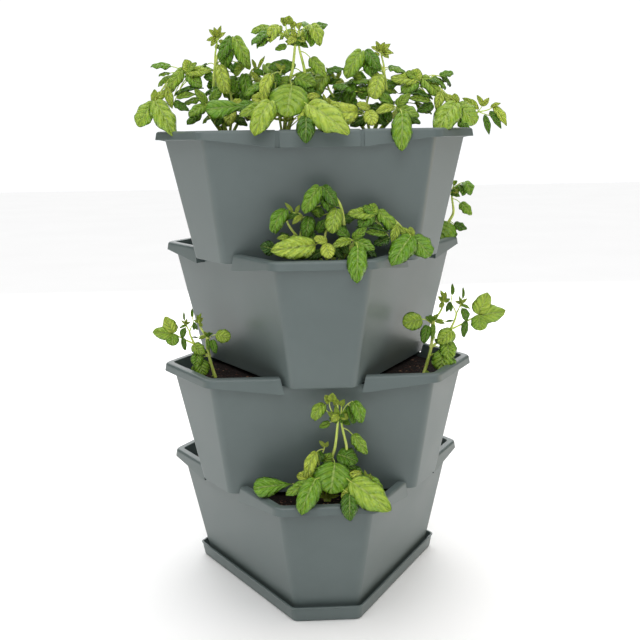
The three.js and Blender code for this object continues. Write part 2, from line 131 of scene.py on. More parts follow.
def add_object(name: str, data: ID) -> Object:
    """Puts an object in the scene, at the origin.

    Args:
        name: Its name.
        data: Its mesh, curve, light or camera.

    Returns:
        The object.
    """
    item = bpy.data.objects.new(name, data)
    bpy.context.scene.collection.objects.link(item)
    return item


def mesh_piece(name: str, points: Sequence, faces: Faces) -> Object:
    """Makes an object at the origin.

    Args:
        name: Name of the object and of its mesh.
        points: The points in metres.
        faces: The faces as numbers of points.

    Returns:
        The object.
    """
    mesh = bpy.data.meshes.new(name)
    mesh.from_pydata([tuple(point) for point in points], [], faces)
    mesh.update()
    return add_object(name, mesh)


def closed_skin(rings: Sequence[Sequence[Vector]], first: int = 0) -> tuple[list[Vector], Faces]:
    """Joins rings with equal numbers of points into a closed surface, capped at both ends.

    Args:
        rings: The rings, each anticlockwise when seen from where the next ring lies.
        first: Number that the first point will have.

    Returns:
        The points and the faces.
    """
    count = len(rings[0])
    points = [point for ring in rings for point in ring]
    faces: Faces = []
    for level in range(len(rings) - 1):
        for step in range(count):
            here, after = first + level * count + step, first + level * count + (step + 1) % count
            faces.append((here, after, after + count, here + count))
    top = first + (len(rings) - 1) * count
    faces.append(tuple(first + step for step in reversed(range(count))))
    faces.append(tuple(top + step for step in range(count)))
    return points, faces


def solid_piece(name: str, *bodies: Sequence[Sequence[Vector]]) -> Object:
    """Makes one object of closed bodies.

    Args:
        name: Name of the object.
        *bodies: The rings of each body in mm.

    Returns:
        The object, in metres.
    """
    points: list[Vector] = []
    faces: Faces = []
    for rings in bodies:
        more_points, more_faces = closed_skin(rings, len(points))
        points += more_points
        faces += more_faces
    return mesh_piece(name, [point * MM for point in points], faces)


def discard(*pieces: Object) -> None:
    """Removes helper objects that have done their work."""
    for piece in pieces:
        bpy.data.objects.remove(piece, do_unlink=True)


def merge_flat_faces(piece: Object, shortest_mm: float = 0.2, flat_degrees: float = 0.4,
                     folded: float = -0.99) -> None:
    """Removes edges too short to show, joins faces that lie in one plane, and opens folds between them.

    Args:
        piece: The moulding that is cleaned after its cuts.
        shortest_mm: Length up to which an edge is removed.
        flat_degrees: Angle up to which two faces count as one.
        folded: Product of two faces' normals below which one lies folded back on the other.
    """
    mesh = bmesh.new()
    mesh.from_mesh(piece.data)
    bmesh.ops.dissolve_degenerate(mesh, dist=shortest_mm * MM, edges=mesh.edges[:])
    flat = math.radians(flat_degrees)
    bmesh.ops.dissolve_limit(mesh, angle_limit=flat, verts=mesh.verts[:], edges=mesh.edges[:])
    mesh.normal_update()
    pairs = [edge.link_faces for edge in mesh.edges if len(edge.link_faces) == 2]
    folds = {face for pair in pairs if pair[0].normal.dot(pair[1].normal) < folded for face in pair}
    if folds:
        bmesh.ops.dissolve_faces(mesh, faces=list(folds))
    mesh.to_mesh(piece.data)
    mesh.free()


def bake_modifiers(piece: Object, name: str | None = None) -> Object:
    """Turns an object with its modifiers into a plain mesh object and removes the source.

    Args:
        piece: The object whose modifiers are live.
        name: Name of the result, or the source's own.

    Returns:
        The new object, at the origin.
    """
    name = name or piece.name
    depsgraph = bpy.context.evaluated_depsgraph_get()
    mesh = bpy.data.meshes.new_from_object(piece.evaluated_get(depsgraph), depsgraph=depsgraph)
    discard(piece)
    mesh.name = name
    return add_object(name, mesh)


def cut_or_join(piece: Object, tool: Object, operation: str,
                weld_mm: float = 0.002) -> Object:
    """Applies one exact boolean to a piece and removes the tool.

    Args:
        piece: The body that is changed.
        tool: The other body.
        operation: DIFFERENCE or UNION.
        weld_mm: Distance up to which the points that the cut leaves are merged.

    Returns:
        The changed body.
    """
    modifier = piece.modifiers.new("shape", "BOOLEAN")
    modifier.operation = operation
    modifier.solver = "EXACT"
    modifier.object = tool
    weld = piece.modifiers.new("weld", "WELD")
    weld.merge_threshold = weld_mm * MM
    piece = bake_modifiers(piece)
    discard(tool)
    return piece


def arc_profile(centre: tuple[float, float], radius: float, start: float, end: float, steps: int) -> Profile:
    """Points of a round in a wall's section, as pairs of growth and height.

    Args:
        centre: Growth and height of the round's centre.
        radius: Radius in mm.
        start: First angle in degrees, from outwards to upwards.
        end: Last angle in degrees.
        steps: Number of steps.

    Returns:
        The points from start to end.
    """
    turns = [math.radians(start + (end - start) * step / steps) for step in range(steps + 1)]
    return [(centre[0] + radius * math.cos(turn), centre[1] + radius * math.sin(turn)) for turn in turns]


def new_geometry_tree(name: str, **inputs: str) -> tuple[NodeTree, NodeOutputs]:
    """Starts a Geometry Nodes tree.

    Args:
        name: Name of the tree.
        **inputs: Name of each input after the geometry, and the last word of its socket's type.

    Returns:
        The tree and the sockets that its inputs come from.
    """
    tree = bpy.data.node_groups.new(name, "GeometryNodeTree")
    for label, kind in {"Geometry": "Geometry", **inputs}.items():
        tree.interface.new_socket(label, in_out="INPUT", socket_type=f"NodeSocket{kind}")
    tree.interface.new_socket("Geometry", in_out="OUTPUT", socket_type="NodeSocketGeometry")
    return tree, add_node(tree, "NodeGroupInput").outputs


def close_geometry_tree(tree: NodeTree, source: Node,
                        material: NodeSocket) -> None:
    """Ends a Geometry Nodes tree in Realize Instances, smooth shading and Set Material.

    Args:
        tree: The tree.
        source: The node that gives the geometry.
        material: The socket that gives the material.
    """
    realized = add_node(tree, "GeometryNodeRealizeInstances", {"Geometry": source})
    smooth = add_node(tree, "GeometryNodeSetShadeSmooth", {"Geometry": realized})
    finished = add_node(tree, "GeometryNodeSetMaterial", {"Geometry": smooth, "Material": material})
    add_node(tree, "NodeGroupOutput", {0: finished})


def run_tree(source: Object, tree: NodeTree,
             values: dict[str, object]) -> Object:
    """Runs a Geometry Nodes tree over an object, its inputs set by identifier, and bakes the result.

    Args:
        source: The object that carries the tree's points, faces or curves, which is removed.
        tree: The tree.
        values: Name of an input to its value.

    Returns:
        The baked object.
    """
    modifier = source.modifiers.new(tree.name, "NODES")
    modifier.node_group = tree
    for item in tree.interface.items_tree:
        if item.item_type == "SOCKET" and item.in_out == "INPUT" and item.name in values:
            modifier[item.identifier] = values[item.name]
    return bake_modifiers(source)


# Finishes


@dataclass(frozen=True)
class Finish:
    """What all finishes share: a name, and a material made from the inputs that each gives its shader."""
    name: str

    def surface(self, tree: NodeTree, place: NodeSocket) -> dict[str, object]:
        """Adds the finish's own nodes.

        Args:
            tree: The material's tree.
            place: Object coordinates in metres.

        Returns:
            Name of each input of the shader to its constant or its source.
        """
        raise NotImplementedError

    def material(self) -> Material:
        """Builds the material.

        Returns:
            The material, its pattern in front of a Principled shader.
        """
        material = bpy.data.materials.new(self.name)
        material.use_nodes = True
        tree = material.node_tree
        tree.nodes.clear()
        place = add_node(tree, "ShaderNodeTexCoord").outputs["Object"]
        shader = add_node(tree, "ShaderNodeBsdfPrincipled", self.surface(tree, place))
        add_node(tree, "ShaderNodeOutputMaterial", {"Surface": shader})
        return material


@dataclass(frozen=True)
class MouldedPolypropylene(Finish):
    """Injection-moulded polypropylene, satin from a fine sparked mould.

    It gives the eye an even grey-green with soft broad highlights, slightly cloudy where the melt
    cooled unevenly, and a grain that is only just felt.
    """
    name: str = "polypropylene_satin_moulded"
    tones: Tones = ((0.35, "5f6b6a"), (0.7, "667271"))
    roughness: tuple[float, float] = (0.36, 0.46)
    ior: float = 1.49
    cloud_mm: float = 90.0
    # Spark grain is about 0.3 mm, too fine to show, so it is drawn at 1.6 mm
    grain_mm: float = 1.6
    grain_depth_mm: float = 0.3

    def surface(self, tree: NodeTree, place: NodeSocket) -> dict[str, object]:
        """Adds the clouds and the grain. Args and Returns are those of Finish."""
        cloud = add_node(tree, "ShaderNodeTexNoise", {
            "Vector": place, "Scale": 1 / (self.cloud_mm * MM), "Detail": 3.0, "Roughness": 0.55,
        })
        grain = add_node(tree, "ShaderNodeTexNoise", {
            "Vector": place, "Scale": 1 / (self.grain_mm * MM), "Detail": 2.0,
        })
        return {
            "Base Color": add_node(tree, "ShaderNodeValToRGB", {"Fac": cloud}, self.tones),
            "Roughness": add_node(tree, "ShaderNodeMapRange", {
                "Value": cloud, "From Min": 0.3, "From Max": 0.7,
                "To Min": self.roughness[0], "To Max": self.roughness[1],
            }),
            "IOR": self.ior,
            "Normal": add_node(tree, "ShaderNodeBump", {
                "Strength": 0.12, "Distance": self.grain_depth_mm * MM, "Height": grain,
            }),
        }


@dataclass(frozen=True)
class DampCompost(Finish):
    """Screened peat and bark compost, damp; its colour follows the same noise as its bump, nearly black in
    the hollows and brown on the crumbs.
    """
    name: str = "peat_compost_damp"
    tones: Tones = ((0.34, "0c0807"), (0.56, "1f1511"), (0.76, "46301f"))
    roughness: float = 0.88
    specular: float = 0.3
    crumb_mm: float = 4.0
    crumb_depth_mm: float = 2.0

    def surface(self, tree: NodeTree, place: NodeSocket) -> dict[str, object]:
        """Adds the crumbs. Args and Returns are those of Finish."""
        crumb = add_node(tree, "ShaderNodeTexNoise", {
            "Vector": place, "Scale": 1 / (self.crumb_mm * MM), "Detail": 6.0, "Roughness": 0.7,
        })
        return {
            "Base Color": add_node(tree, "ShaderNodeValToRGB", {"Fac": crumb}, self.tones),
            "Roughness": self.roughness, "Specular IOR Level": self.specular,
            "Normal": add_node(tree, "ShaderNodeBump", {
                "Strength": 0.9, "Distance": self.crumb_depth_mm * MM, "Height": crumb,
            }),
        }


@dataclass(frozen=True)
class BarkChips(Finish):
    """Composted bark and wood fibre on the compost, reddish brown to straw, each chip with its own tone."""
    name: str = "composted_bark_chips"
    tones: Tones = ((0.0, "160d0a"), (0.8, "47261b"), (1.0, "96745a"))
    roughness: float = 0.8
    fibre_mm: float = 1.5
    fibre_depth_mm: float = 0.6

    def surface(self, tree: NodeTree, place: NodeSocket) -> dict[str, object]:
        """Adds the chips' tones and the fibre. Args and Returns are those of Finish."""
        tone = add_node(tree, "ShaderNodeAttribute", attribute_name="tone").outputs["Fac"]
        fibre = add_node(tree, "ShaderNodeTexNoise", {
            "Vector": place, "Scale": 1 / (self.fibre_mm * MM), "Detail": 3.0,
        })
        return {
            "Base Color": add_node(tree, "ShaderNodeValToRGB", {"Fac": tone}, self.tones),
            "Roughness": self.roughness,
            "Normal": add_node(tree, "ShaderNodeBump", {
                "Strength": 0.6, "Distance": self.fibre_depth_mm * MM, "Height": fibre,
            }),
        }


@dataclass(frozen=True)
class LivingLeaf(Finish):
    """A soft herb leaf, grown: puckered between raked side veins, satin above and paler and matt below.

    Each leaf has its own tone from dark old green to young yellow-green, and light shines through a little.
    Painted shade darkens the grooves between its puckers and its margins, and painted light brightens the
    domes.
    """
    name: str = "basil_leaf_living"
    tones: Tones = ((0.0, "234d0c"), (0.45, "6a9c23"), (1.0, "c9dc55"))
    vein: str = "c4da7c"
    under: str = "86a94f"
    roughness: float = 0.33
    ior: float = 1.45
    translucent: float = 0.15
    skin_mm: float = 1.2
    pucker_mm: float = 2.0
    # Mottling of the blade is about 6 mm across
    mottle_mm: float = 6.0

    def pattern(self, tree: NodeTree, place: NodeSocket) -> dict[str, object]:
        """Adds the veins, the puckers, the mottle and the painted shade and light of the puckers and margins,
        which follow the blade's own attribute.

        Args:
            tree: The material's tree.
            place: Object coordinates in metres.

        Returns:
            Name of each value to the node or the socket that gives it.
        """
        blade = add_node(tree, "ShaderNodeAttribute", attribute_name="blade").outputs["Vector"]
        split = add_node(tree, "ShaderNodeSeparateXYZ", {0: blade}).outputs
        values: dict[str, object] = {
            "across": split[0], "along": split[1], "below": split[2],
            "tone": add_node(tree, "ShaderNodeAttribute", attribute_name="tone").outputs["Fac"],
            "mottle": add_node(tree, "ShaderNodeTexNoise", {
                "Vector": place, "Scale": 1 / (self.mottle_mm * MM), "Detail": 3.0,
            }),
        }
        ends = ("Value", "From Min", "From Max", "To Min", "To Max")
        for name, operation, *terms in (
            ("reach", "ABSOLUTE", "across"),
            ("uneven", "SUBTRACT", "mottle", 0.5),
            ("wander", "MULTIPLY", "uneven", 0.1),
            ("lag", "MULTIPLY", "reach", VEIN_RAKE),
            ("straight", "SUBTRACT", "along", "lag"),
            ("raked", "ADD", "straight", "wander"),
            ("pairs", "MULTIPLY", "raked", VEIN_PAIRS),
            ("phase", "FRACT", "pairs"),
            ("middle", "SUBTRACT", "phase", 0.5),
            ("side", "ABSOLUTE", "middle"),
            ("pucker", "SMOOTHSTEP", "side", 0.1, 0.5, 1.0, 0.0),
            ("side_vein", "SMOOTHSTEP", "side", 0.4, 0.5, 0.0, 0.4),
            ("midrib", "SMOOTHSTEP", "reach", 0.02, 0.09, 0.9, 0.0),
            # Painted shade: the blade darkens towards its margins, where they curl away from the light
            ("margin", "SMOOTHSTEP", "reach", 0.5, 1.0, 0.0, 0.16),
            ("veins", "MAXIMUM", "side_vein", "midrib"),
            ("vein_share", "MULTIPLY", "veins", 0.6),
            ("under_share", "MULTIPLY", "below", 0.55),
            ("spots", "MULTIPLY", "uneven", 0.3),
            ("spotted", "ADD", "tone", "spots"),
            # Painted shade and light: the grooves between the puckers are darkened and their domes lightened,
            # from the same pucker that raises the bump
            ("pucker_shade_centred", "SUBTRACT", "pucker", 0.5),
            ("painted_pucker_shade", "MULTIPLY", "pucker_shade_centred", 0.1),
            ("shaded", "ADD", "spotted", "painted_pucker_shade"),
            ("shade", "SUBTRACT", "shaded", "margin"),
            ("bumps", "MULTIPLY", "mottle", 0.5),
            ("groove", "MULTIPLY", "midrib", 0.8),
            ("relief", "SUBTRACT", "pucker", "groove"),
            ("height", "ADD", "bumps", "relief"),
        ):
            given = [values[term] if isinstance(term, str) else term for term in terms]
            if operation == "SMOOTHSTEP":
                inputs = dict(zip(ends, given))
                node = add_node(tree, "ShaderNodeMapRange", inputs, interpolation_type=operation)
            else:
                node = add_node(tree, "ShaderNodeMath", dict(enumerate(given)), operation=operation)
            values[name] = node
        return values

    def surface(self, tree: NodeTree, place: NodeSocket) -> dict[str, object]:
        """Adds the colours over the pattern. Args and Returns are those of Finish."""
        values = self.pattern(tree, place)
        colour = add_node(tree, "ShaderNodeValToRGB", {"Fac": values["shade"]}, self.tones)
        for share, code in (("vein_share", self.vein), ("under_share", self.under)):
            colour = add_node(tree, "ShaderNodeMix", {
                "Factor": values[share], "A": colour, "B": linear(code),
            }, data_type="RGBA")
        return {
            "Base Color": colour, "Roughness": self.roughness, "IOR": self.ior,
            "Normal": add_node(tree, "ShaderNodeBump", {
                "Strength": 0.9, "Distance": self.pucker_mm * MM, "Height": values["height"],
            }),
            "Subsurface Weight": self.translucent, "Subsurface Radius": (0.6, 1.0, 0.2),
            "Subsurface Scale": self.skin_mm * MM,
        }


@dataclass(frozen=True)
class LivingStem(Finish):
    """A soft green herb stem, grown: smooth, juicy and pale, streaked along with darker green."""
    name: str = "herb_stem_living"
    tones: Tones = ((0.35, "b4ce52"), (0.55, "dcea7c"))
    roughness: float = 0.42
    ior: float = 1.4
    translucent: float = 0.2
    skin_mm: float = 2.0
    streak_mm: float = 3.0
    streak_depth_mm: float = 0.3

    def surface(self, tree: NodeTree, place: NodeSocket) -> dict[str, object]:
        """Adds the streaks, five times as long as wide. Args and Returns are those of Finish."""
        stretched = add_node(tree, "ShaderNodeMapping", {"Vector": place, "Scale": (1.0, 1.0, 0.2)})
        streak = add_node(tree, "ShaderNodeTexNoise", {
            "Vector": stretched, "Scale": 1 / (self.streak_mm * MM), "Detail": 2.0,
        })
        return {
            "Base Color": add_node(tree, "ShaderNodeValToRGB", {"Fac": streak}, self.tones),
            "Roughness": self.roughness, "IOR": self.ior,
            "Normal": add_node(tree, "ShaderNodeBump", {
                "Strength": 0.2, "Distance": self.streak_depth_mm * MM, "Height": streak,
            }),
            "Subsurface Weight": self.translucent, "Subsurface Radius": (0.6, 1.0, 0.2),
            "Subsurface Scale": self.skin_mm * MM,
        }


@dataclass(frozen=True)
class StudioPaper(Finish):
    """Matt white studio paper, rolled out: even and without gloss."""
    name: str = "studio_paper_matt"
    tones: Tones = ((0.3, "fdfdfd"), (0.7, "ffffff"))
    roughness: float = 0.95
    specular: float = 0.1
    mottle_mm: float = 500.0

    def surface(self, tree: NodeTree, place: NodeSocket) -> dict[str, object]:
        """Adds a faint mottle. Args and Returns are those of Finish."""
        mottle = add_node(tree, "ShaderNodeTexNoise", {"Vector": place, "Scale": 1 / (self.mottle_mm * MM)})
        return {
            "Base Color": add_node(tree, "ShaderNodeValToRGB", {"Fac": mottle}, self.tones),
            "Roughness": self.roughness, "Specular IOR Level": self.specular,
        }


@dataclass(frozen=True)
class Materials:
    """One material of each kind, shared by the whole tower."""
    plastic: Material
    compost: Material
    bark: Material
    leaf: Material
    stem: Material


# Trays and saucer


@dataclass(frozen=True)
class Outline:
    """Truncated triangle in plan: three long sides facing 90, 210 and 330 degrees, and three corner sides."""
    side_reach: float
    corner_reach: float
    marker_half: float
    arc_steps: int = 8

    def ring(self, grow: float, height: float, radius: float,
             marker_height: float | None = None) -> list[Vector]:
        """Points of the outline, anticlockwise from above.

        Args:
            grow: Outward growth of every side in mm.
            height: Height in mm.
            radius: Radius of the corners' rounds in mm.
            marker_height: Height of the two points beside each notch, if it differs.

        Returns:
            The closed ring of points.
        """
        side, corner = self.side_reach + grow, self.corner_reach + grow
        half = ((corner - radius) - (side - radius) / 2) / math.sin(SIXTH_TURN)
        marker_height = height if marker_height is None else marker_height
        spots: list[Place] = []
        for across, start in ((-half, -SIXTH_TURN), (half, 0)):
            for step in range(self.arc_steps + 1):
                turn = start + SIXTH_TURN * step / self.arc_steps
                reach = side - radius + radius * math.cos(turn)
                spots.append((reach, across + radius * math.sin(turn), height))
        middle = self.arc_steps + 1
        spots[middle:middle] = [(side, end * self.marker_half, marker_height) for end in (-1, 1)]
        points: list[Vector] = []
        for number in range(3):
            facing = math.pi / 2 + number * THIRD_TURN
            along = Vector((math.cos(facing), math.sin(facing)))
            aside = Vector((-math.sin(facing), math.cos(facing)))
            points += [Vector((*(along * reach + aside * across), level)) for reach, across, level in spots]
        return points


@dataclass(frozen=True)
class TrayForm:
    """Sizes of a planting tray in mm, the same as the frame's, and the meshes that follow from them."""
    height: float = 195
    side_reach: float = 137
    corner_reach: float = 194
    flare: float = 38
    corner_radius: float = 14
    wall: float = 3
    floor: float = 3.5
    foot_round: float = 2.5
    nest_depth: float = 15
    overhang: float = 10
    thickness: float = 3
    band_corner_depth: float = 13
    band_notch_depth: float = 25
    nose_round: float = 4.5
    inner_round: float = 1.6
    lean: float = 1.2
    rim_radius: float = 20
    lip_round: float = 0.5
    clearance: float = 4
    end_slope: float = 0.22
    web: float = 3
    groove_width: float = 6
    groove_depth: float = 1.2
    drain_diameter: float = 9
    drain_reach: float = 95
    drain_count: int = 9
    drain_sides: int = 24
    edge_break: float = 0.45
    # The wall's fillet under the rim, the inner round's step inwards, and the air under the tray above
    fillet: float = 1
    inner_step: float = 0.2
    seat_gap: float = 0.3
    # How far cutters reach past a surface, and the webs stay inside the band
    overrun: float = 1
    inset: float = 0.6
    nose_steps: int = 6
    round_steps: int = 4

    @property
    def pitch(self) -> float:
        """Height from one tray to the next."""
        return self.height - self.nest_depth

    @property
    def rim_wall_reach(self) -> float:
        """Reach of the long side's inner wall at the rim."""
        return self.side_reach + self.flare - self.wall

    @property
    def rim_face_reach(self) -> float:
        """Reach of the rim's outer face on a long side."""
        return self.side_reach + self.flare + self.overhang

    @property
    def band_notch_bottom(self) -> float:
        """Height of the band's lower edge beside the notches."""
        return self.height - self.band_notch_depth

    def lean_at(self, height: float) -> float:
        """Outward lean of the wall at a height."""
        return self.flare * height / self.height

    def notch_half(self, reach: float, height: float) -> float:
        """Half the width of a notch, which follows the corner of the tray above.

        Args:
            reach: Reach from the axis, along the way that the notch faces.
            height: Height above the tray's underside.

        Returns:
            The half width in mm.
        """
        side = self.side_reach + self.lean_at(height - self.pitch)
        corner = (2 * side - self.rim_wall_reach) * math.tan(SIXTH_TURN / 2)
        return corner + self.clearance - self.end_slope * (reach - self.rim_wall_reach)

    def outline(self) -> Outline:
        """The tray's outline at its base, with its markers in the middle of the webs."""
        marker = self.notch_half(self.rim_face_reach, self.height) + self.web / 2
        return Outline(self.side_reach, self.corner_reach, marker)

    def band_ring(self, out: float, lift: float) -> list[Vector]:
        """Ring at the band's lower edge, or a lift above it, which hangs deeper beside the notches."""
        level = self.height - self.band_corner_depth + lift
        return self.outline().ring(out, level, self.rim_radius, self.band_notch_bottom + lift)

    def shell(self) -> Object:
        """Floor, walls and the rim with its hollow band, as one shell of even thickness.

        Returns:
            The tray, its notches not yet made.
        """
        outline, grow = self.outline(), self.flare + self.overhang
        under_rim, within = self.height - self.thickness, grow - self.thickness
        foot_centre = (self.lean_at(self.foot_round) - self.foot_round, self.foot_round)
        nose_centre = (grow - self.nose_round, self.height - self.nose_round)
        lip = self.flare - self.wall
        lip_centre = (lip + self.inner_round - self.inner_step, self.height - self.inner_round)
        heel = self.floor + self.foot_round
        heel_centre = (self.lean_at(heel) - self.wall - self.foot_round, heel)
        foot = arc_profile(foot_centre, self.foot_round, -90, 0, self.round_steps)
        nose = arc_profile(nose_centre, self.nose_round, 0, 90, self.nose_steps)
        inside = arc_profile(lip_centre, self.inner_round, 90, 180, self.round_steps)
        inside += arc_profile(heel_centre, self.foot_round, 0, -90, self.round_steps)
        rings = [outline.ring(out, height, self.corner_radius) for out, height in foot]
        rings += [
            outline.ring(self.lean_at(under_rim - self.fillet), under_rim - self.fillet, self.corner_radius),
            outline.ring(self.lean_at(under_rim) + self.fillet, under_rim, self.corner_radius),
            outline.ring(within, under_rim, self.rim_radius),
            self.band_ring(within + self.lean, self.lip_round),
            self.band_ring(within + self.lean + self.lip_round, 0),
            self.band_ring(grow + self.lean - self.lip_round, 0),
            self.band_ring(grow + self.lean, self.lip_round),
        ]
        rings += [outline.ring(out, height, self.rim_radius) for out, height in nose]
        rings += [outline.ring(out, height, self.corner_radius - self.wall) for out, height in inside]
        return solid_piece("tray_blank", rings)

    def side_turns(self) -> list[Matrix]:
        """Turns that bring the X axis to face each long side."""
        return [Matrix.Rotation(math.pi / 2 + side * THIRD_TURN, 4, "Z") for side in range(3)]

    def notch_prisms(self, profile: Profile, *spans: Span) -> Object:
        """Prisms along the three long sides, whose ends follow the corners of the tray above.

        Args:
            profile: Reach and height of each corner, from the inner top one outwards.
            *spans: For each prism of a side, its ends from left to right: a hand and the distance beyond
                that end of the notch.

        Returns:
            The prisms as one object.
        """
        return solid_piece("notch_prisms", *([[
            turn @ Vector((reach, hand * (self.notch_half(reach, height) + beyond), height))
            for reach, height in profile
        ] for hand, beyond in span] for turn in self.side_turns() for span in spans))

    def groove_blocks(self, near: float, far: float, low: float, high: float) -> Object:
        """Blocks that cut one leg of every groove along the closed panels' edges.

        Args:
            near: Least reach of the blocks in mm.
            far: Greatest reach.
            low: Height of their undersides.
            high: Height of their tops.

        Returns:
            The blocks as one object.
        """
        half = self.groove_width / 2
        middle = self.notch_half(self.rim_face_reach, self.height) - half
        corners = [(near, -half), (far, -half), (far, half), (near, half)]
        return solid_piece("groove_blocks", *([[
            turn @ Vector((reach, hand * middle + across, height)) for reach, across in corners
        ] for height in (low, high)] for turn in self.side_turns() for hand in (1, -1)))

    def open_notches(self, piece: Object) -> Object:
        """Opens the three notches: webs close the band's ends, and a ledge carries the tray above.

        Args:
            piece: The tray's shell.

        Returns:
            The shell with its notches.
        """
        low, high = self.band_notch_bottom + self.inset, self.height - self.thickness / 2
        inner, face = self.side_reach - self.wall / 2, self.rim_face_reach - self.thickness / 2
        web = [
            (inner + self.lean_at(high), high), (face, high), (face + self.lean, low),
            (inner + self.lean_at(low), low),
        ]
        right, left = ((1, -self.overrun), (1, self.web)), ((-1, self.web), (-1, -self.overrun))
        piece = cut_or_join(piece, self.notch_prisms(web, right, left), "UNION")
        top, bottom = self.height + self.overrun, self.band_notch_bottom - self.overrun
        within, wall = self.rim_wall_reach - self.flare, self.rim_wall_reach + self.wall
        far, ledge = self.rim_face_reach + self.lean + self.overrun, self.pitch - self.seat_gap
        gap = [(within, top), (far, top), (far, bottom), (wall, bottom), (wall, ledge), (within, ledge)]
        return cut_or_join(piece, self.notch_prisms(gap, ((-1, 0), (1, 0))), "DIFFERENCE")

    def closed_notches(self, piece: Object) -> Object:
        """Marks off the three closed panels with two grooves each, down the band and over the rim.

        Args:
            piece: The tray's shell.

        Returns:
            The shell with its grooves.
        """
        far, top = self.rim_face_reach + self.lean + self.overrun, self.height + self.overrun
        near, low = self.rim_face_reach - self.groove_depth, self.band_notch_bottom - self.overrun
        piece = cut_or_join(piece, self.groove_blocks(near, far, low, top), "DIFFERENCE")
        near, low = self.rim_wall_reach - self.overrun, self.height - self.groove_depth
        return cut_or_join(piece, self.groove_blocks(near, far, low, top), "DIFFERENCE")

    def drain_cutter(self) -> Object:
        """Ring of drain holes, from a Geometry Nodes tree.

        Returns:
            The holes as one cutter.
        """
        tree, given = new_geometry_tree(
            "drain_holes", Count="Int", Reach="Float", Diameter="Float", Depth="Float", Material="Material")
        circle = add_node(tree, "GeometryNodeMeshCircle", {
            "Vertices": given["Count"], "Radius": given["Reach"],
        })
        radius = add_node(tree, "ShaderNodeMath", {0: given["Diameter"], 1: 2.0}, operation="DIVIDE")
        hole = add_node(tree, "GeometryNodeMeshCylinder", {
            "Vertices": self.drain_sides, "Radius": radius, "Depth": given["Depth"],
        })
        holes = add_node(tree, "GeometryNodeInstanceOnPoints", {"Points": circle, "Instance": hole})
        close_geometry_tree(tree, holes, given["Material"])
        return run_tree(mesh_piece("drain_cutter", [(0, 0, 0)], []), tree, {
            "Count": self.drain_count, "Reach": self.drain_reach * MM, "Diameter": self.drain_diameter * MM,
            "Depth": 4 * self.floor * MM,
        })


@dataclass(frozen=True)
class SaucerForm:
    """Sizes of the drip saucer in mm, the same as the frame's."""
    height: float = 24
    side_margin: float = 8.5
    corner_margin: float = 10.5
    marker_half: float = 55
    flare: float = 4
    corner_radius: float = 12
    wall: float = 2.4
    floor: float = 2.5
    foot_round: float = 3
    lip_depth: float = 3
    lip_overhang: float = 1
    edge_round: float = 0.8
    foot_steps: int = 5
    edge_steps: int = 4

    def lean_at(self, height: float) -> float:
        """Outward lean of the wall at a height."""
        return self.flare * height / self.height

    def rings(self, tray: TrayForm) -> list[list[Vector]]:
        """Rings of the saucer, from its underside over the lip and down to its floor.

        Args:
            tray: The tray that stands in it.

        Returns:
            The rings in mm.
        """
        foot, edge, over = self.foot_round, self.edge_round, self.lip_overhang
        top, lip, heel = self.height - edge, self.height - self.lip_depth, self.floor + foot
        outside = arc_profile((self.lean_at(foot) - foot, foot), foot, -90, 0, self.foot_steps)
        outside += [(self.lean_at(lip), lip), (self.lean_at(lip) + over, lip + over)]
        outside += arc_profile((self.flare + over - edge, top), edge, 0, 90, self.edge_steps)
        inside = arc_profile((self.flare - self.wall + edge, top), edge, 90, 180, self.edge_steps)
        inside += arc_profile((self.lean_at(heel) - self.wall - foot, heel), foot, 0, -90, self.foot_steps)
        side, corner = tray.side_reach + self.side_margin, tray.corner_reach + self.corner_margin
        outline = Outline(side, corner, self.marker_half)
        rings = [outline.ring(out, height, self.corner_radius) for out, height in outside]
        return rings + [outline.ring(out, height, self.corner_radius - self.wall) for out, height in inside]


@dataclass
class TrayStack:
    """The saucer and the four trays that nest on it, each turned a sixth of a turn to the one below."""
    form: TrayForm = field(default_factory=TrayForm)
    saucer: SaucerForm = field(default_factory=SaucerForm)
    count: int = 4
    gap: float = 0.3
    # Edges past the first angle are broken, those past the second shade sharp, and broad faces shade flat
    break_degrees: float = 42
    sharp_degrees: float = 35
    broad_m2: float = 0.0012

    def level(self, tier: int) -> float:
        """Height of a tray's underside in mm."""
        return self.saucer.floor + self.gap + tier * self.form.pitch

    def dress(self, piece: Object, node: str, finish: Material) -> None:
        """Breaks a moulding's edges, smooths it, gives it its finish and puts it in its node's stead.

        Args:
            piece: The moulding.
            node: The frame's node.
            finish: Its material.
        """
        name, body = f"{node}_moulding", f"{node}_body"
        merge_flat_faces(piece)
        bevel = piece.modifiers.new("edge_break", "BEVEL")
        bevel.width = self.form.edge_break * MM
        bevel.segments = 2
        bevel.limit_method = "ANGLE"
        bevel.angle_limit = math.radians(self.break_degrees)
        piece = bake_modifiers(piece, name)
        piece.data.shade_smooth()
        piece.data.set_sharp_from_angle(angle=math.radians(self.sharp_degrees))
        narrow = [polygon.area < self.broad_m2 for polygon in piece.data.polygons]
        piece.data.polygons.foreach_set("use_smooth", narrow)
        weighted = piece.modifiers.new("flat_faces_first", "WEIGHTED_NORMAL")
        weighted.keep_sharp = True
        piece = bake_modifiers(piece, name)
        piece.data.materials.clear()
        piece.data.materials.append(finish)
        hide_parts(node)
        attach(piece, body)
        LOG.info("%s: %d faces", name, len(piece.data.polygons))

    def build(self, finish: Material) -> None:
        """Builds the saucer and the trays.

        Args:
            finish: Material of all the mouldings.
        """
        self.dress(solid_piece("saucer_blank", self.saucer.rings(self.form)), "saucer", finish)
        for tier in range(self.count):
            tray = self.form.shell()
            is_top = tier == self.count - 1
            tray = self.form.closed_notches(tray) if is_top else self.form.open_notches(tray)
            tray = cut_or_join(tray, self.form.drain_cutter(), "DIFFERENCE")
            turn = Matrix.Rotation(tier * SIXTH_TURN, 4, "Z")
            tray.data.transform(Matrix.Translation((0, 0, self.level(tier) * MM)) @ turn)
            self.dress(tray, f"tray_{tier + 1}", finish)


# Compost


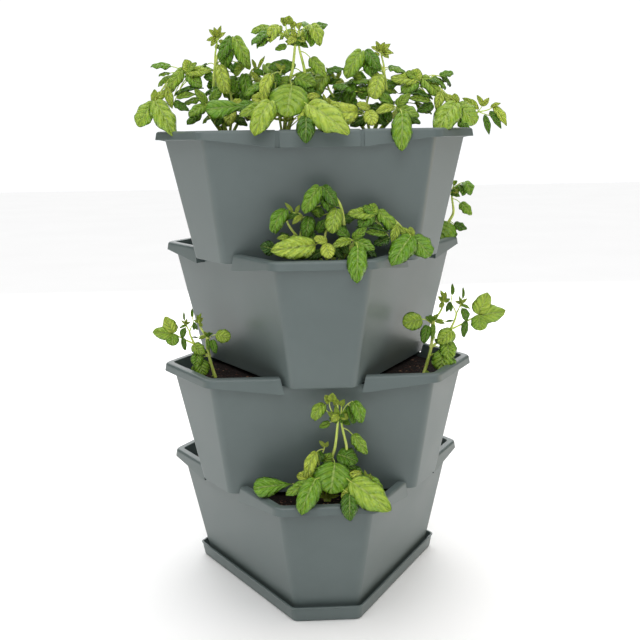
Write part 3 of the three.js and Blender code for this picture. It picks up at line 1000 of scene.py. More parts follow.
@dataclass
class Compost:
    """Compost in each tray, crumbled on top and strewn with bark where the tray above leaves it open.

    Its sizes are in mm, apart from the chips'.
    """
    stack: TrayStack
    roots: dict[int, list[tuple[float, float]]]
    below_next: float = 4
    below_rim: float = 12
    dip: float = 3.5
    lump_spacing: float = 50
    mound_radius: float = 14
    mound_foot: float = 24
    # Crumbs: how high one unit of their noise stands, how far apart they are, the noise's least and most, its
    # dimension, lacunarity and octaves, and how far it moves up from tray to tray
    crumb_mm: float = 1.6
    crumb_spacing: float = 9
    crumb_ends: tuple[float, float] = (-1.2, 0.8)
    crumb_noise: tuple[float, float, int] = (0.7, 2.2, 4)
    crumb_shift: float = 50.0
    # The fill's upper edge: where it leaves the wall, how far in and down it turns, and how fine its ring is
    shoulder: float = 4
    shoulder_drop: float = 1
    edge_inset: float = 0.6
    edge_drop: float = 1.5
    edge_step: float = 6
    corner_steps: int = 6
    rings_in: int = 40
    open_margin: float = 4
    chips_per_m2: float = 20000.0
    # Smallest and largest half axes of a chip in metres, and how far it may tip and turn in radians
    chip_least: Place = (0.0009, 0.0006, 0.0004)
    chip_most: Place = (0.0042, 0.0018, 0.0010)
    chip_turn: Place = (0.35, 0.35, 3.14)

    def surface(self, tier: int) -> float:
        """Height of the compost above its tray's underside."""
        form = self.stack.form
        return form.height - self.below_rim if tier == self.stack.count - 1 else form.pitch - self.below_next

    def is_open(self, tier: int, spot: Vector) -> float:
        """Tells the bare compost from what lies under the tray above.

        Args:
            tier: The tray's number from nought.
            spot: A place in mm.

        Returns:
            One where no tray stands above the place, and nought where one does.
        """
        if tier == self.stack.count - 1:
            return 1.0
        for side in range(3):
            facing = math.pi / 2 + (tier + 1) * SIXTH_TURN + side * THIRD_TURN
            reach = spot.x * math.cos(facing) + spot.y * math.sin(facing)
            if reach > self.stack.form.side_reach + self.open_margin:
                return 1.0
        return 0.0

    def dip_at(self, spot: Vector, tier: int) -> float:
        """Depth of the compost's dips at a place, straight between the lumps' corners, as the frame has them.

        Args:
            spot: The place in mm, in its tray's own frame.
            tier: The tray's number from nought.

        Returns:
            The depth in mm.
        """
        def share(column: int, row: int) -> float:
            """Share of the full dip at a corner of the lumps' grid, from two sums of waves."""
            waves = math.sin(1.9 * column + 2.7 * row + tier) + math.sin(3.1 * column - 1.3 * row + 2 * tier)
            return (waves + 2) / 4

        column, row = math.floor(spot.x / self.lump_spacing), math.floor(spot.y / self.lump_spacing)
        right, ahead = spot.x / self.lump_spacing - column, spot.y / self.lump_spacing - row
        near = share(column, row) * (1 - right) + share(column + 1, row) * right
        far = share(column, row + 1) * (1 - right) + share(column + 1, row + 1) * right
        return self.dip * (near * (1 - ahead) + far * ahead)

    def surface_at(self, spot: Vector, flat: Vector, tier: int) -> float:
        """Height of the compost against its level, from its dips, its mounds and its crumbs.

        Args:
            spot: The place in mm, in its tray's own frame.
            flat: The same place in the tower's frame.
            tier: The tray's number from nought.

        Returns:
            The height in mm.
        """
        fall = self.dip_at(spot, tier)
        for root in self.roots.get(tier, ()):
            away = math.hypot(flat.x - root[0], flat.y - root[1]) - self.mound_radius
            slope = self.dip / (self.mound_foot - self.mound_radius)
            fall = min(fall, max(0.0, away * slope))
        lowest, highest = self.crumb_ends
        sample = Vector((flat.x, flat.y, tier * self.crumb_shift)) / self.crumb_spacing
        crumbs = noise.fractal(sample, *self.crumb_noise)
        return max(lowest, min(highest, crumbs)) * self.crumb_mm - fall

    def fill(self, tier: int) -> Object:
        """Closed body of compost with a crumbled surface.

        Args:
            tier: The tray's number from nought.

        Returns:
            The body in metres, with a mask of where it is bare.
        """
        form = self.stack.form
        depth, gap = self.surface(tier), self.stack.gap
        marker = form.notch_half(form.rim_face_reach, form.height)
        outline = Outline(form.side_reach, form.corner_reach, marker, self.corner_steps)
        radius = form.corner_radius - form.wall - gap

        def inside(height: float) -> float:
            """Growth of the compost's side at a height."""
            return form.lean_at(height) - form.wall - gap

        low, heel, shoulder = form.floor + gap, form.floor + form.foot_round, depth - self.shoulder
        turn = Matrix.Rotation(tier * SIXTH_TURN, 4, "Z")
        place = Matrix.Translation((0, 0, self.stack.level(tier))) @ turn
        edge = outline.ring(inside(shoulder) - self.edge_inset, depth, radius)
        lengths = [(after - point).length for point, after in zip(edge, edge[1:] + edge[:1])]
        steps = [max(1, round(length / self.edge_step)) for length in lengths]

        def finer(ring: list[Vector]) -> list[Vector]:
            """The ring with its long edges divided."""
            pairs = zip(ring, ring[1:] + ring[:1], steps)
            return [point.lerp(after, step / many) for point, after, many in pairs for step in range(many)]

        spots = finer(edge)
        rings = [[place @ point for point in finer(ring)] for ring in (
            outline.ring(inside(low) - form.foot_round, low, radius),
            outline.ring(inside(heel), heel + gap, radius),
            outline.ring(inside(shoulder), shoulder - self.shoulder_drop, radius),
        )]
        for number in range(self.rings_in):
            share = 1 - number / self.rings_in
            ring = []
            for spot in spots:
                near = Vector((spot.x * share, spot.y * share, depth))
                flat = place @ near
                lift = self.surface_at(near, flat, tier) - self.edge_drop * (number == 0)
                ring.append(flat + Vector((0, 0, lift)))
            rings.append(ring)
        points, faces = closed_skin(rings)
        piece = mesh_piece(f"soil_{tier + 1}_compost", [point * MM for point in points], faces)
        piece.data.shade_smooth()
        # The sides and the upper edge's own ring stay free of chips
        covered = 4 * len(spots)
        bare = [0.0] * covered + [self.is_open(tier, point) for point in points[covered:]]
        piece.data.attributes.new("bare", "FLOAT", "POINT").data.foreach_set("value", bare)
        return piece

    def chip_tree(self) -> NodeTree:
        """Geometry Nodes tree that strews flat bark chips over the bare compost.

        Returns:
            The tree.
        """
        tree, given = new_geometry_tree("bark_chips", Density="Float", Seed="Int", Material="Material")
        bare = add_node(tree, "GeometryNodeInputNamedAttribute", {"Name": "bare"}, data_type="FLOAT")
        density = add_node(tree, "ShaderNodeMath", {0: given["Density"], 1: bare}, operation="MULTIPLY")
        spread = add_node(tree, "GeometryNodeDistributePointsOnFaces", {
            "Mesh": given["Geometry"], "Density": density, "Seed": given["Seed"],
        })
        chip = add_node(tree, "GeometryNodeMeshIcoSphere", {"Radius": 1.0, "Subdivisions": 1})
        least_turn = tuple(-turn for turn in self.chip_turn)
        size, tilt, tone = [
            add_node(tree, "FunctionNodeRandomValue", {"Min": low, "Max": high, "Seed": seed}, data_type=kind)
            for low, high, seed, kind in (
                (self.chip_least, self.chip_most, 11, "FLOAT_VECTOR"),
                (least_turn, self.chip_turn, 12, "FLOAT_VECTOR"),
                (0.0, 1.0, 13, "FLOAT"),
            )
        ]
        turn = add_node(tree, "FunctionNodeEulerToRotation", {"Euler": tilt})
        toned = add_node(tree, "GeometryNodeStoreNamedAttribute", {
            "Geometry": spread, "Name": "tone", "Value": tone,
        }, data_type="FLOAT", domain="POINT")
        chips = add_node(tree, "GeometryNodeInstanceOnPoints", {
            "Points": toned, "Instance": chip, "Rotation": turn, "Scale": size,
        })
        close_geometry_tree(tree, chips, given["Material"])
        return tree

    def build(self, materials: Materials) -> None:
        """Builds the compost and its bark chips for every tray.

        Args:
            materials: The tower's materials.
        """
        tree = self.chip_tree()
        for tier in range(self.stack.count):
            number = tier + 1
            body = f"tray_{number}_body"
            fill = self.fill(tier)
            fill.data.materials.append(materials.compost)
            chips = run_tree(add_object(f"soil_{number}_bark", fill.data.copy()), tree, {
                "Density": self.chips_per_m2, "Seed": number, "Material": materials.bark,
            })
            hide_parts(f"soil_{number}")
            for piece in (fill, chips):
                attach(piece, body)
            counts = (len(fill.data.polygons), len(chips.data.polygons))
            LOG.info("soil %d: %d faces, chips %d faces", number, *counts)


# Plants


@dataclass(frozen=True)
class BladeShape:
    """How a leaf's blade is shaped, in shares of its length and half width.

    Rise and fall say how fast its margins leave the base and reach the tip, droop and twist are angles in
    radians at the tip, and cup is the curl across it. Fold, puff, ripple, quilt and teeth are depths.
    """
    rise: float = 0.42
    fall: float = 0.74
    droop: float = 0.6
    cup: float = -0.5
    fold: float = 0.12
    puff: float = 0.22
    ripple: float = 0.06
    waves: float = 2.3
    quilt: float = 0.036
    teeth: float = 0.07
    tooth_count: int = 10
    twist: float = 0.0
    # Same for every form: how late the droop sets in, and the groove along the midrib
    droop_delay: float = 1.3
    midrib_steps: int = 24
    groove_depth: float = 0.02
    groove_width: float = 0.14

    def midrib(self, share: float) -> tuple[float, float, float]:
        """Follows the drooping midrib.

        Args:
            share: Share of its length.

        Returns:
            Place along, rise and slope.
        """
        along = rise = 0.0
        for step in range(self.midrib_steps):
            slope = self.droop * ((step + 0.5) / self.midrib_steps * share) ** self.droop_delay
            along += math.cos(slope) * share / self.midrib_steps
            rise -= math.sin(slope) * share / self.midrib_steps
        return along, rise, self.droop * share ** self.droop_delay

    def half_width(self, share: float) -> float:
        """Half the blade's width, with its teeth.

        Args:
            share: Nought at the base to one at the tip.

        Returns:
            The half width, at most about a half.
        """
        whole = self.rise + self.fall
        widest = (self.rise / whole) ** self.rise * (self.fall / whole) ** self.fall
        # Kept just off both ends, so that no two rings of the blade meet in a point
        inner = min(max(share, 0.004), 0.997)
        half = 0.5 * inner ** self.rise * (1 - inner) ** self.fall / widest
        tooth = (share * self.tooth_count) % 1.0
        has_teeth = 0.06 < share < 0.97
        return half * (1 + self.teeth * (tooth - 0.5) * (1.0 if has_teeth else 0.0))

    def point(self, across: float, share: float, lift: float) -> Vector:
        """One point of a blade from its base at the origin to its tip at one along Y, face up.

        Args:
            across: Minus one at the left margin to one at the right.
            share: Nought at the base to one at the tip.
            lift: Height above the blade's middle surface.

        Returns:
            The point.
        """
        half = self.half_width(share)
        reach = across * half
        bend = self.cup / 0.5
        side = math.sin(bend * reach) / bend
        up = (1 - math.cos(bend * reach)) / bend
        up += self.fold * abs(reach) + self.puff * half * math.sin(math.pi * abs(across))
        # The right margin's ripple lags behind the left one's
        up += self.ripple * across ** 2 * math.sin(math.tau * self.waves * share + (across > 0) * 1.9)
        wander = 0.02 * math.sin(9 * share + 4 * across)
        vein = (share - VEIN_RAKE * abs(across) + wander) * VEIN_PAIRS
        relief = min(1.0, half * 4)
        up += self.quilt * (abs(math.sin(math.pi * vein)) - 0.5) * relief * (1 - abs(across) ** 4)
        up -= self.groove_depth * math.exp(-(across / self.groove_width) ** 2) * relief
        twist = self.twist * share
        side, up = (
            side * math.cos(twist) - up * math.sin(twist), side * math.sin(twist) + up * math.cos(twist),
        )
        along, rise, slope = self.midrib(share)
        raised = up + lift
        return Vector((side, along + raised * math.sin(slope), rise + raised * math.cos(slope)))


class LeafForm(Enum):
    """The forms that the leaves take."""
    BROAD = BladeShape()
    HANGING = BladeShape(droop=1.1, cup=-0.7, rise=0.4, fall=0.66, puff=0.28)
    CUPPED = BladeShape(rise=0.45, fall=0.5, droop=1.0, cup=-1.15, quilt=0.04)
    CURLED = BladeShape(rise=0.6, fall=0.8, droop=2.3, cup=-0.6, fold=0.2)
    LANCE = BladeShape(rise=0.75, fall=1.0, droop=0.6, cup=0.3, ripple=0.03)
    BUD = BladeShape(rise=0.6, fall=0.9, droop=-0.5, cup=1.3, fold=0.3, ripple=0.02)
    SAIL = BladeShape(rise=0.6, fall=0.75, droop=0.9, cup=0.9, fold=0.5, twist=0.4)
    ROUND = BladeShape(rise=0.45, fall=0.5, droop=0.5, cup=-0.25, ripple=0.05, waves=2.5)
    TOOTHED = BladeShape(rise=0.5, fall=0.7, droop=0.6, cup=-0.2, quilt=0.035, teeth=0.12, tooth_count=8)
    SPOON = BladeShape(rise=1.5, fall=0.5, droop=0.4, cup=-0.5, ripple=0.03, quilt=0.015)
    WAVY = BladeShape(rise=0.5, fall=0.5, droop=0.4, cup=0.25, ripple=0.1, waves=3.0, twist=0.3)


@dataclass(frozen=True)
class Leaf:
    """One leaf: its form, where its blade begins and ends, and the stem that its stalk springs from.

    Places are across, back and up from the root, as shares of the plant's spread and height. Springs is
    the stem's number and a share of the way along it. Tone runs from nought, old and dark, to one, young; the
    low tones of leaves deep in the foliage also paint the shade that lies there.
    """
    form: LeafForm
    base: Place
    tip: Place
    width: float
    springs: tuple[int, float]
    tone: float = 0.5
    face: Place = (0.0, -1.0, 0.7)


@dataclass(frozen=True)
class Stem:
    """One stem through places given as a leaf's are, with its diameters in mm."""
    places: tuple[Place, ...]
    foot: float = 5.2
    tip: float = 3.0


@dataclass(frozen=True)
class PlantKind:
    """How one kind of plant grows: its stems, its leaves, and how far up its backing leaves spring."""
    stems: tuple[Stem, ...]
    leaves: tuple[Leaf, ...]
    leafy: float = 0.75


# Short name, because the tables below use it on every line
F = LeafForm

UPRIGHT = PlantKind(stems=(
    Stem(((0, 0, 0), (0.03, -0.02, 0.2), (0.05, -0.03, 0.39), (0.08, -0.05, 0.5), (0.1, -0.08, 0.68),
          (0.105, -0.1, 0.78), (0.1, -0.11, 0.9)), 6.4, 2.4),
    Stem(((0.02, 0, 0), (0.1, -0.02, 0.2), (0.17, -0.03, 0.4), (0.18, -0.05, 0.48), (0.165, -0.06, 0.57),
          (0.14, -0.08, 0.68), (0.13, -0.1, 0.78), (0.14, -0.1, 0.89)), 6.4, 2.0),
    Stem(((-0.01, 0, 0), (-0.05, 0, 0.2), (-0.06, -0.03, 0.36), (-0.02, -0.05, 0.47),
          (-0.01, -0.06, 0.52)), 3.8, 1.8),
    Stem(((0.1, -0.09, 0.74), (0.04, -0.11, 0.84), (0.03, -0.12, 0.92)), 2.4, 1.6),
    Stem(((0.13, -0.1, 0.76), (0.17, -0.11, 0.86), (0.23, -0.12, 0.9)), 2.4, 1.6),
    Stem(((0.1, -0.09, 0.75), (0.0, -0.11, 0.83), (-0.02, -0.12, 0.89)), 2.2, 1.4),
), leaves=(
    Leaf(F.ROUND, (0.07, -0.14, 0.35), (0.02, -0.27, 0.07), 0.34, (0, 0.35), 0.42, (0, -1, 0.35)),
    Leaf(F.TOOTHED, (0.1, -0.05, 0.43), (0.27, -0.1, 0.35), 0.19, (1, 0.35), 0.3, (0.2, -1, 0.8)),
    Leaf(F.HANGING, (-0.11, -0.36, 0.2), (-0.24, -0.5, -0.1), 0.21, (0, 0.1), 0.5, (-0.2, -1, 0.5)),
    Leaf(F.TOOTHED, (-0.14, -0.3, 0.18), (-0.36, -0.36, 0.07), 0.11, (0, 0.1), 0.5, (-0.2, -1, 0.7)),
    Leaf(F.SPOON, (-0.29, -0.13, 0.17), (-0.63, -0.17, 0.14), 0.19, (0, 0.08), 0.34, (0, -1, 0.6)),
    Leaf(F.HANGING, (0.17, -0.42, 0.06), (0.16, -0.52, -0.17), 0.17, (1, 0.04), 0.03, (0, -1, 0.2)),
    Leaf(F.BROAD, (0.19, -0.36, 0.17), (0.5, -0.52, -0.1), 0.27, (1, 0.12), 0.62, (0.1, -1, 0.6)),
    Leaf(F.WAVY, (0.31, -0.24, 0.1), (0.11, -0.3, 0.03), 0.12, (1, 0.04), 0.95, (0, -1, 0.8)),
    Leaf(F.BROAD, (0.32, -0.14, 0.21), (0.47, -0.24, 0.1), 0.12, (1, 0.16), 0.6, (0.2, -1, 0.6)),
    Leaf(F.CURLED, (0.29, -0.16, 0.25), (0.16, -0.18, 0.21), 0.07, (1, 0.2), 1.0),
    Leaf(F.CURLED, (0.16, -0.18, 0.24), (0.18, -0.22, 0.07), 0.07, (1, 0.2), 1.0),
    Leaf(F.CURLED, (0.29, -0.17, 0.22), (0.28, -0.2, 0.07), 0.07, (1, 0.2), 0.95),
    Leaf(F.WAVY, (-0.11, -0.12, 0.22), (-0.26, -0.15, 0.24), 0.1, (2, 0.3), 1.0),
    Leaf(F.BUD, (0.09, -0.11, 0.87), (0.07, -0.13, 0.94), 0.08, (0, 1.0), 0.8),
    Leaf(F.BUD, (0.13, -0.11, 0.86), (0.16, -0.13, 0.92), 0.07, (1, 1.0), 0.75),
    Leaf(F.LANCE, (0.11, -0.12, 0.78), (0.04, -0.16, 0.72), 0.08, (0, 0.8), 0.85),
    Leaf(F.LANCE, (0.13, -0.12, 0.77), (0.19, -0.16, 0.74), 0.07, (1, 0.8), 0.9),
    Leaf(F.BUD, (0.05, -0.12, 0.9), (0.06, -0.13, 0.98), 0.11, (3, 1.0), 0.7),
    Leaf(F.BUD, (0.03, -0.12, 0.89), (-0.01, -0.14, 0.96), 0.1, (3, 1.0), 0.75),
    Leaf(F.CURLED, (-0.02, -0.12, 0.88), (-0.1, -0.17, 0.74), 0.13, (5, 1.0), 0.6, (-0.4, -1, 0.4)),
    Leaf(F.CURLED, (0.23, -0.12, 0.89), (0.29, -0.17, 0.71), 0.14, (4, 1.0), 0.5, (0.3, -1, 0.5)),
    Leaf(F.SAIL, (0.2, -0.11, 0.86), (0.23, -0.14, 0.7), 0.12, (4, 0.7), 0.3),
    Leaf(F.HANGING, (0.23, -0.1, 0.6), (0.34, -0.14, 0.42), 0.13, (1, 0.7), 0.5, (0.4, -1, 0.5)),
    Leaf(F.BROAD, (0.03, -0.1, 0.72), (-0.06, -0.13, 0.67), 0.07, (0, 0.72), 0.4),
    Leaf(F.LANCE, (0.1, -0.09, 0.74), (0.01, -0.12, 0.81), 0.07, (0, 0.78), 0.6),
    Leaf(F.LANCE, (0.13, -0.09, 0.75), (0.23, -0.12, 0.83), 0.08, (1, 0.86), 0.55),
    Leaf(F.LANCE, (0.1, -0.1, 0.76), (0.08, -0.11, 0.87), 0.055, (0, 0.8), 0.7),
    Leaf(F.LANCE, (0.1, -0.1, 0.72), (0.02, -0.13, 0.75), 0.055, (0, 0.76), 0.3),
    Leaf(F.LANCE, (0.14, -0.1, 0.73), (0.21, -0.13, 0.69), 0.06, (1, 0.8), 0.3),
    Leaf(F.BROAD, (0.12, -0.11, 0.72), (0.15, -0.15, 0.79), 0.07, (0, 0.76), 0.15),
    Leaf(F.CURLED, (-0.09, -0.1, 0.45), (-0.15, -0.15, 0.22), 0.13, (2, 0.8), 0.8, (-0.5, -1, 0.4)),
    Leaf(F.SAIL, (-0.07, -0.08, 0.46), (-0.04, -0.11, 0.36), 0.07, (2, 0.8), 0.1),
    Leaf(F.LANCE, (-0.01, -0.06, 0.5), (-0.06, -0.06, 0.56), 0.04, (2, 0.95), 0.8),
    Leaf(F.LANCE, (0.0, -0.06, 0.5), (0.02, -0.07, 0.55), 0.035, (2, 0.95), 0.8),
    Leaf(F.BROAD, (0.15, -0.08, 0.37), (0.25, -0.13, 0.29), 0.11, (1, 0.38), 0.15, (0.2, -1, 0.5)),
    Leaf(F.BROAD, (-0.02, -0.05, 0.36), (0.05, -0.08, 0.44), 0.1, (0, 0.3), 0.45, (0, -1, 0.6)),
    Leaf(F.LANCE, (0.0, -0.1, 0.03), (-0.09, -0.14, 0.05), 0.03, (0, 0.02), 1.0),
    Leaf(F.LANCE, (0.03, -0.1, 0.03), (0.11, -0.14, 0.05), 0.03, (0, 0.02), 1.0),
    Leaf(F.LANCE, (0.01, -0.1, 0.03), (0.0, -0.12, 0.13), 0.03, (0, 0.02), 1.0),
    Leaf(F.LANCE, (0.02, -0.1, 0.03), (0.06, -0.13, 0.1), 0.03, (0, 0.02), 0.9),
    Leaf(F.BROAD, (0.07, -0.04, 0.26), (0.2, -0.06, 0.16), 0.13, (1, 0.15), 0.02),
    Leaf(F.BROAD, (-0.05, -0.03, 0.24), (-0.17, -0.06, 0.13), 0.12, (0, 0.15), 0.05),
    Leaf(F.BROAD, (0.2, -0.06, 0.3), (0.33, -0.09, 0.22), 0.11, (1, 0.25), 0.1),
    Leaf(F.LANCE, (0.34, -0.17, 0.2), (0.32, -0.18, 0.28), 0.025, (1, 0.16), 0.9),
    Leaf(F.LANCE, (0.37, -0.18, 0.17), (0.37, -0.19, 0.25), 0.025, (1, 0.16), 0.9),
), leafy=0.42)

BUSH = PlantKind(stems=(
    Stem(((0, 0, 0), (0.08, 0.03, 0.25), (0.14, 0.02, 0.47), (0.13, 0, 0.67), (0.09, 0, 0.82),
          (0.0, -0.01, 0.95), (-0.08, -0.02, 1.0)), 6.4, 2.8),
    Stem(((-0.01, 0, 0), (-0.05, 0, 0.25), (-0.04, -0.02, 0.45), (0.04, -0.03, 0.66),
          (0.06, -0.05, 0.72)), 4.6, 2.4),
    Stem(((-0.02, 0, 0), (-0.16, 0.03, 0.22), (-0.31, 0.02, 0.39), (-0.41, 0, 0.56),
          (-0.43, 0, 0.69)), 5.0, 2.6),
    Stem(((-0.29, 0.02, 0.37), (-0.27, 0.02, 0.66)), 4.0, 2.2),
    Stem(((0.02, 0, 0), (0.24, 0, 0.32), (0.42, 0.03, 0.6), (0.48, 0.04, 0.67), (0.62, 0.06, 0.62),
          (0.8, 0.04, 0.4)), 5.0, 2.4),
    Stem(((0.03, -0.02, 0), (0.18, -0.08, 0.2), (0.26, -0.12, 0.33)), 4.0, 2.2),
), leaves=(
    Leaf(F.HANGING, (-0.1, -0.04, 1.0), (-0.25, -0.1, 0.68), 0.2, (0, 1.0), 0.5, (-0.3, -1, 0.5)),
    Leaf(F.HANGING, (-0.07, -0.03, 1.0), (0.06, -0.1, 0.76), 0.17, (0, 0.95), 0.14, (0.3, -1, 0.4)),
    Leaf(F.BROAD, (-0.04, -0.02, 0.94), (0.02, -0.04, 0.68), 0.17, (0, 0.85), 0.2, (0, -1, 0.5)),
    Leaf(F.CUPPED, (0.07, -0.06, 0.73), (0.0, -0.15, 0.44), 0.22, (1, 1.0), 0.6, (0, -1, 0.3)),
    Leaf(F.CURLED, (-0.43, 0, 0.72), (-0.54, -0.07, 0.45), 0.19, (2, 1.0), 0.42, (-0.5, -1, 0.4)),
    Leaf(F.LANCE, (-0.36, 0, 0.69), (-0.44, 0.02, 0.82), 0.045, (3, 1.0), 0.8),
    Leaf(F.LANCE, (-0.33, 0, 0.69), (-0.29, 0, 0.79), 0.045, (3, 1.0), 0.75),
    Leaf(F.LANCE, (-0.27, 0, 0.66), (-0.37, -0.04, 0.55), 0.07, (3, 1.0), 0.8),
    Leaf(F.HANGING, (-0.2, 0.01, 0.64), (-0.24, -0.05, 0.37), 0.17, (3, 0.9), 0.2),
    Leaf(F.BROAD, (-0.31, 0.02, 0.7), (-0.42, 0, 0.62), 0.09, (3, 1.0), 0.1),
    Leaf(F.SAIL, (-0.21, 0.02, 0.72), (-0.1, 0, 0.62), 0.1, (0, 0.6), 0.5),
    Leaf(F.BROAD, (-0.16, -0.2, 0.29), (-0.59, -0.3, 0.23), 0.25, (1, 0.3), 0.85, (0, -1, 0.35)),
    Leaf(F.BROAD, (-0.55, -0.08, 0.25), (-0.69, -0.1, 0.3), 0.16, (2, 0.4), 0.02, (0, -1, 0.3)),
    Leaf(F.HANGING, (0.245, -0.35, 0.25), (0.215, -0.5, -0.16), 0.22, (5, 0.9), 0.42, (0, -1, 0.15)),
    Leaf(F.LANCE, (-0.4, -0.18, 0.38), (-0.53, -0.2, 0.38), 0.07, (2, 0.5), 0.6),
    Leaf(F.ROUND, (-0.04, -0.2, 0.33), (-0.17, -0.26, 0.37), 0.1, (1, 0.4), 1.0, (0, -1, 0.6)),
    Leaf(F.ROUND, (-0.06, -0.24, 0.3), (-0.02, -0.34, 0.13), 0.15, (1, 0.35), 0.95, (0, -1, 0.3)),
    Leaf(F.LANCE, (0.2, -0.16, 0.34), (0.0, -0.24, 0.26), 0.11, (5, 1.0), 0.75, (0, -1, 0.7)),
    Leaf(F.BROAD, (0.18, -0.1, 0.37), (0.04, -0.12, 0.51), 0.13, (5, 0.9), 0.35, (0, -1, 0.5)),
    Leaf(F.BROAD, (0.22, -0.14, 0.36), (0.35, -0.18, 0.49), 0.11, (5, 1.0), 0.5, (0.2, -1, 0.6)),
    Leaf(F.BROAD, (0.24, -0.16, 0.33), (0.42, -0.24, 0.22), 0.16, (5, 1.0), 0.4, (0.2, -1, 0.5)),
    Leaf(F.BROAD, (0.45, 0, 0.67), (0.17, -0.05, 0.66), 0.16, (4, 0.55), 0.6, (0, -1, 0.7)),
    Leaf(F.TOOTHED, (0.43, 0, 0.65), (0.28, -0.07, 0.5), 0.16, (4, 0.55), 0.25, (0, -1, 0.7)),
    Leaf(F.TOOTHED, (0.4, 0, 0.65), (0.45, -0.02, 0.79), 0.14, (4, 0.6), 0.65, (0, -1, 0.4)),
    Leaf(F.BROAD, (0.46, -0.01, 0.67), (0.32, -0.04, 0.75), 0.12, (4, 0.55), 0.5, (0, -1, 0.6)),
    Leaf(F.BROAD, (0.48, 0.02, 0.7), (0.68, 0, 0.43), 0.17, (4, 0.62), 0.55, (0.4, -1, 0.6)),
    Leaf(F.LANCE, (0.59, -0.01, 0.43), (0.25, -0.06, 0.5), 0.1, (4, 0.5), 0.02, (0, -0.6, 1)),
    Leaf(F.LANCE, (0.56, -0.04, 0.41), (0.34, -0.08, 0.44), 0.1, (4, 0.45), 0.4, (0, -1, 0.6)),
    Leaf(F.BROAD, (0.59, -0.02, 0.37), (0.43, -0.05, 0.28), 0.12, (4, 0.4), 0.0),
    Leaf(F.BROAD, (0.8, -0.06, 0.38), (0.585, -0.25, 0.02), 0.27, (4, 0.98), 0.45, (-0.3, -1, 0.5)),
    Leaf(F.ROUND, (0.82, 0.0, 0.37), (1.0, -0.04, 0.13), 0.25, (4, 1.0), 0.5, (0.4, -1, 0.5)),
    Leaf(F.BROAD, (0.81, 0.0, 0.38), (0.67, -0.02, 0.49), 0.11, (4, 0.97), 0.75, (0, -1, 0.5)),
    Leaf(F.BROAD, (0.81, 0.0, 0.37), (0.8, -0.01, 0.5), 0.1, (4, 0.97), 0.7, (0, -1, 0.4)),
    Leaf(F.LANCE, (0.67, -0.03, 0.53), (0.61, -0.07, 0.3), 0.1, (4, 0.85), 0.65, (0, -1, 0.3)),
    Leaf(F.TOOTHED, (-0.17, 0.03, 0.52), (-0.28, 0.01, 0.6), 0.12, (2, 0.4), 0.1),
    Leaf(F.BROAD, (-0.12, 0.0, 0.46), (-0.04, -0.04, 0.6), 0.13, (1, 0.5), 0.2),
    Leaf(F.BROAD, (0.06, 0.0, 0.52), (0.18, -0.05, 0.42), 0.13, (1, 0.6), 0.15),
    Leaf(F.HANGING, (-0.2, 0.0, 0.46), (-0.16, -0.06, 0.28), 0.12, (2, 0.5), 0.1),
    Leaf(F.BROAD, (-0.08, -0.06, 0.22), (-0.22, -0.1, 0.12), 0.12, (1, 0.2), 0.05),
    Leaf(F.BROAD, (0.02, -0.06, 0.28), (0.12, -0.14, 0.12), 0.13, (5, 0.3), 0.0),
    Leaf(F.HANGING, (0.1, -0.1, 0.34), (0.16, -0.18, 0.17), 0.11, (5, 0.6), 0.05),
    Leaf(F.BROAD, (0.3, -0.06, 0.26), (0.45, -0.12, 0.14), 0.13, (4, 0.25), 0.05),
    Leaf(F.BROAD, (-0.38, -0.02, 0.34), (-0.5, -0.05, 0.45), 0.1, (2, 0.5), 0.15),
    Leaf(F.BROAD, (0.1, 0.06, 0.6), (0.26, 0.08, 0.62), 0.13, (0, 0.45), 0.15),
    Leaf(F.BROAD, (-0.06, 0.04, 0.66), (-0.2, 0.06, 0.78), 0.13, (0, 0.5), 0.25),
))

BUSH_CROWN = PlantKind(stems=(
    Stem(((0.12, 0, 0.62), (0.12, 0, 0.8), (0.09, 0, 0.97), (0.08, 0, 1.02)), 3.6, 1.8),
), leaves=(
    Leaf(F.LANCE, (0.09, 0, 0.98), (0.21, -0.02, 0.97), 0.07, (0, 0.95), 0.75),
    Leaf(F.LANCE, (0.09, 0, 0.99), (0.18, -0.02, 1.08), 0.07, (0, 0.95), 0.8),
    Leaf(F.LANCE, (0.08, 0, 1.0), (0.04, 0, 1.12), 0.05, (0, 1.0), 0.65),
    Leaf(F.LANCE, (0.08, 0, 0.99), (-0.01, -0.01, 1.05), 0.06, (0, 0.95), 0.8),
    Leaf(F.BUD, (0.09, -0.01, 1.0), (0.12, -0.05, 1.1), 0.07, (0, 1.0), 0.85),
    Leaf(F.LANCE, (0.1, -0.02, 0.97), (0.16, -0.05, 0.91), 0.06, (0, 0.9), 0.7),
    Leaf(F.LANCE, (0.07, -0.02, 0.97), (0.01, -0.05, 0.93), 0.06, (0, 0.9), 0.6),
))

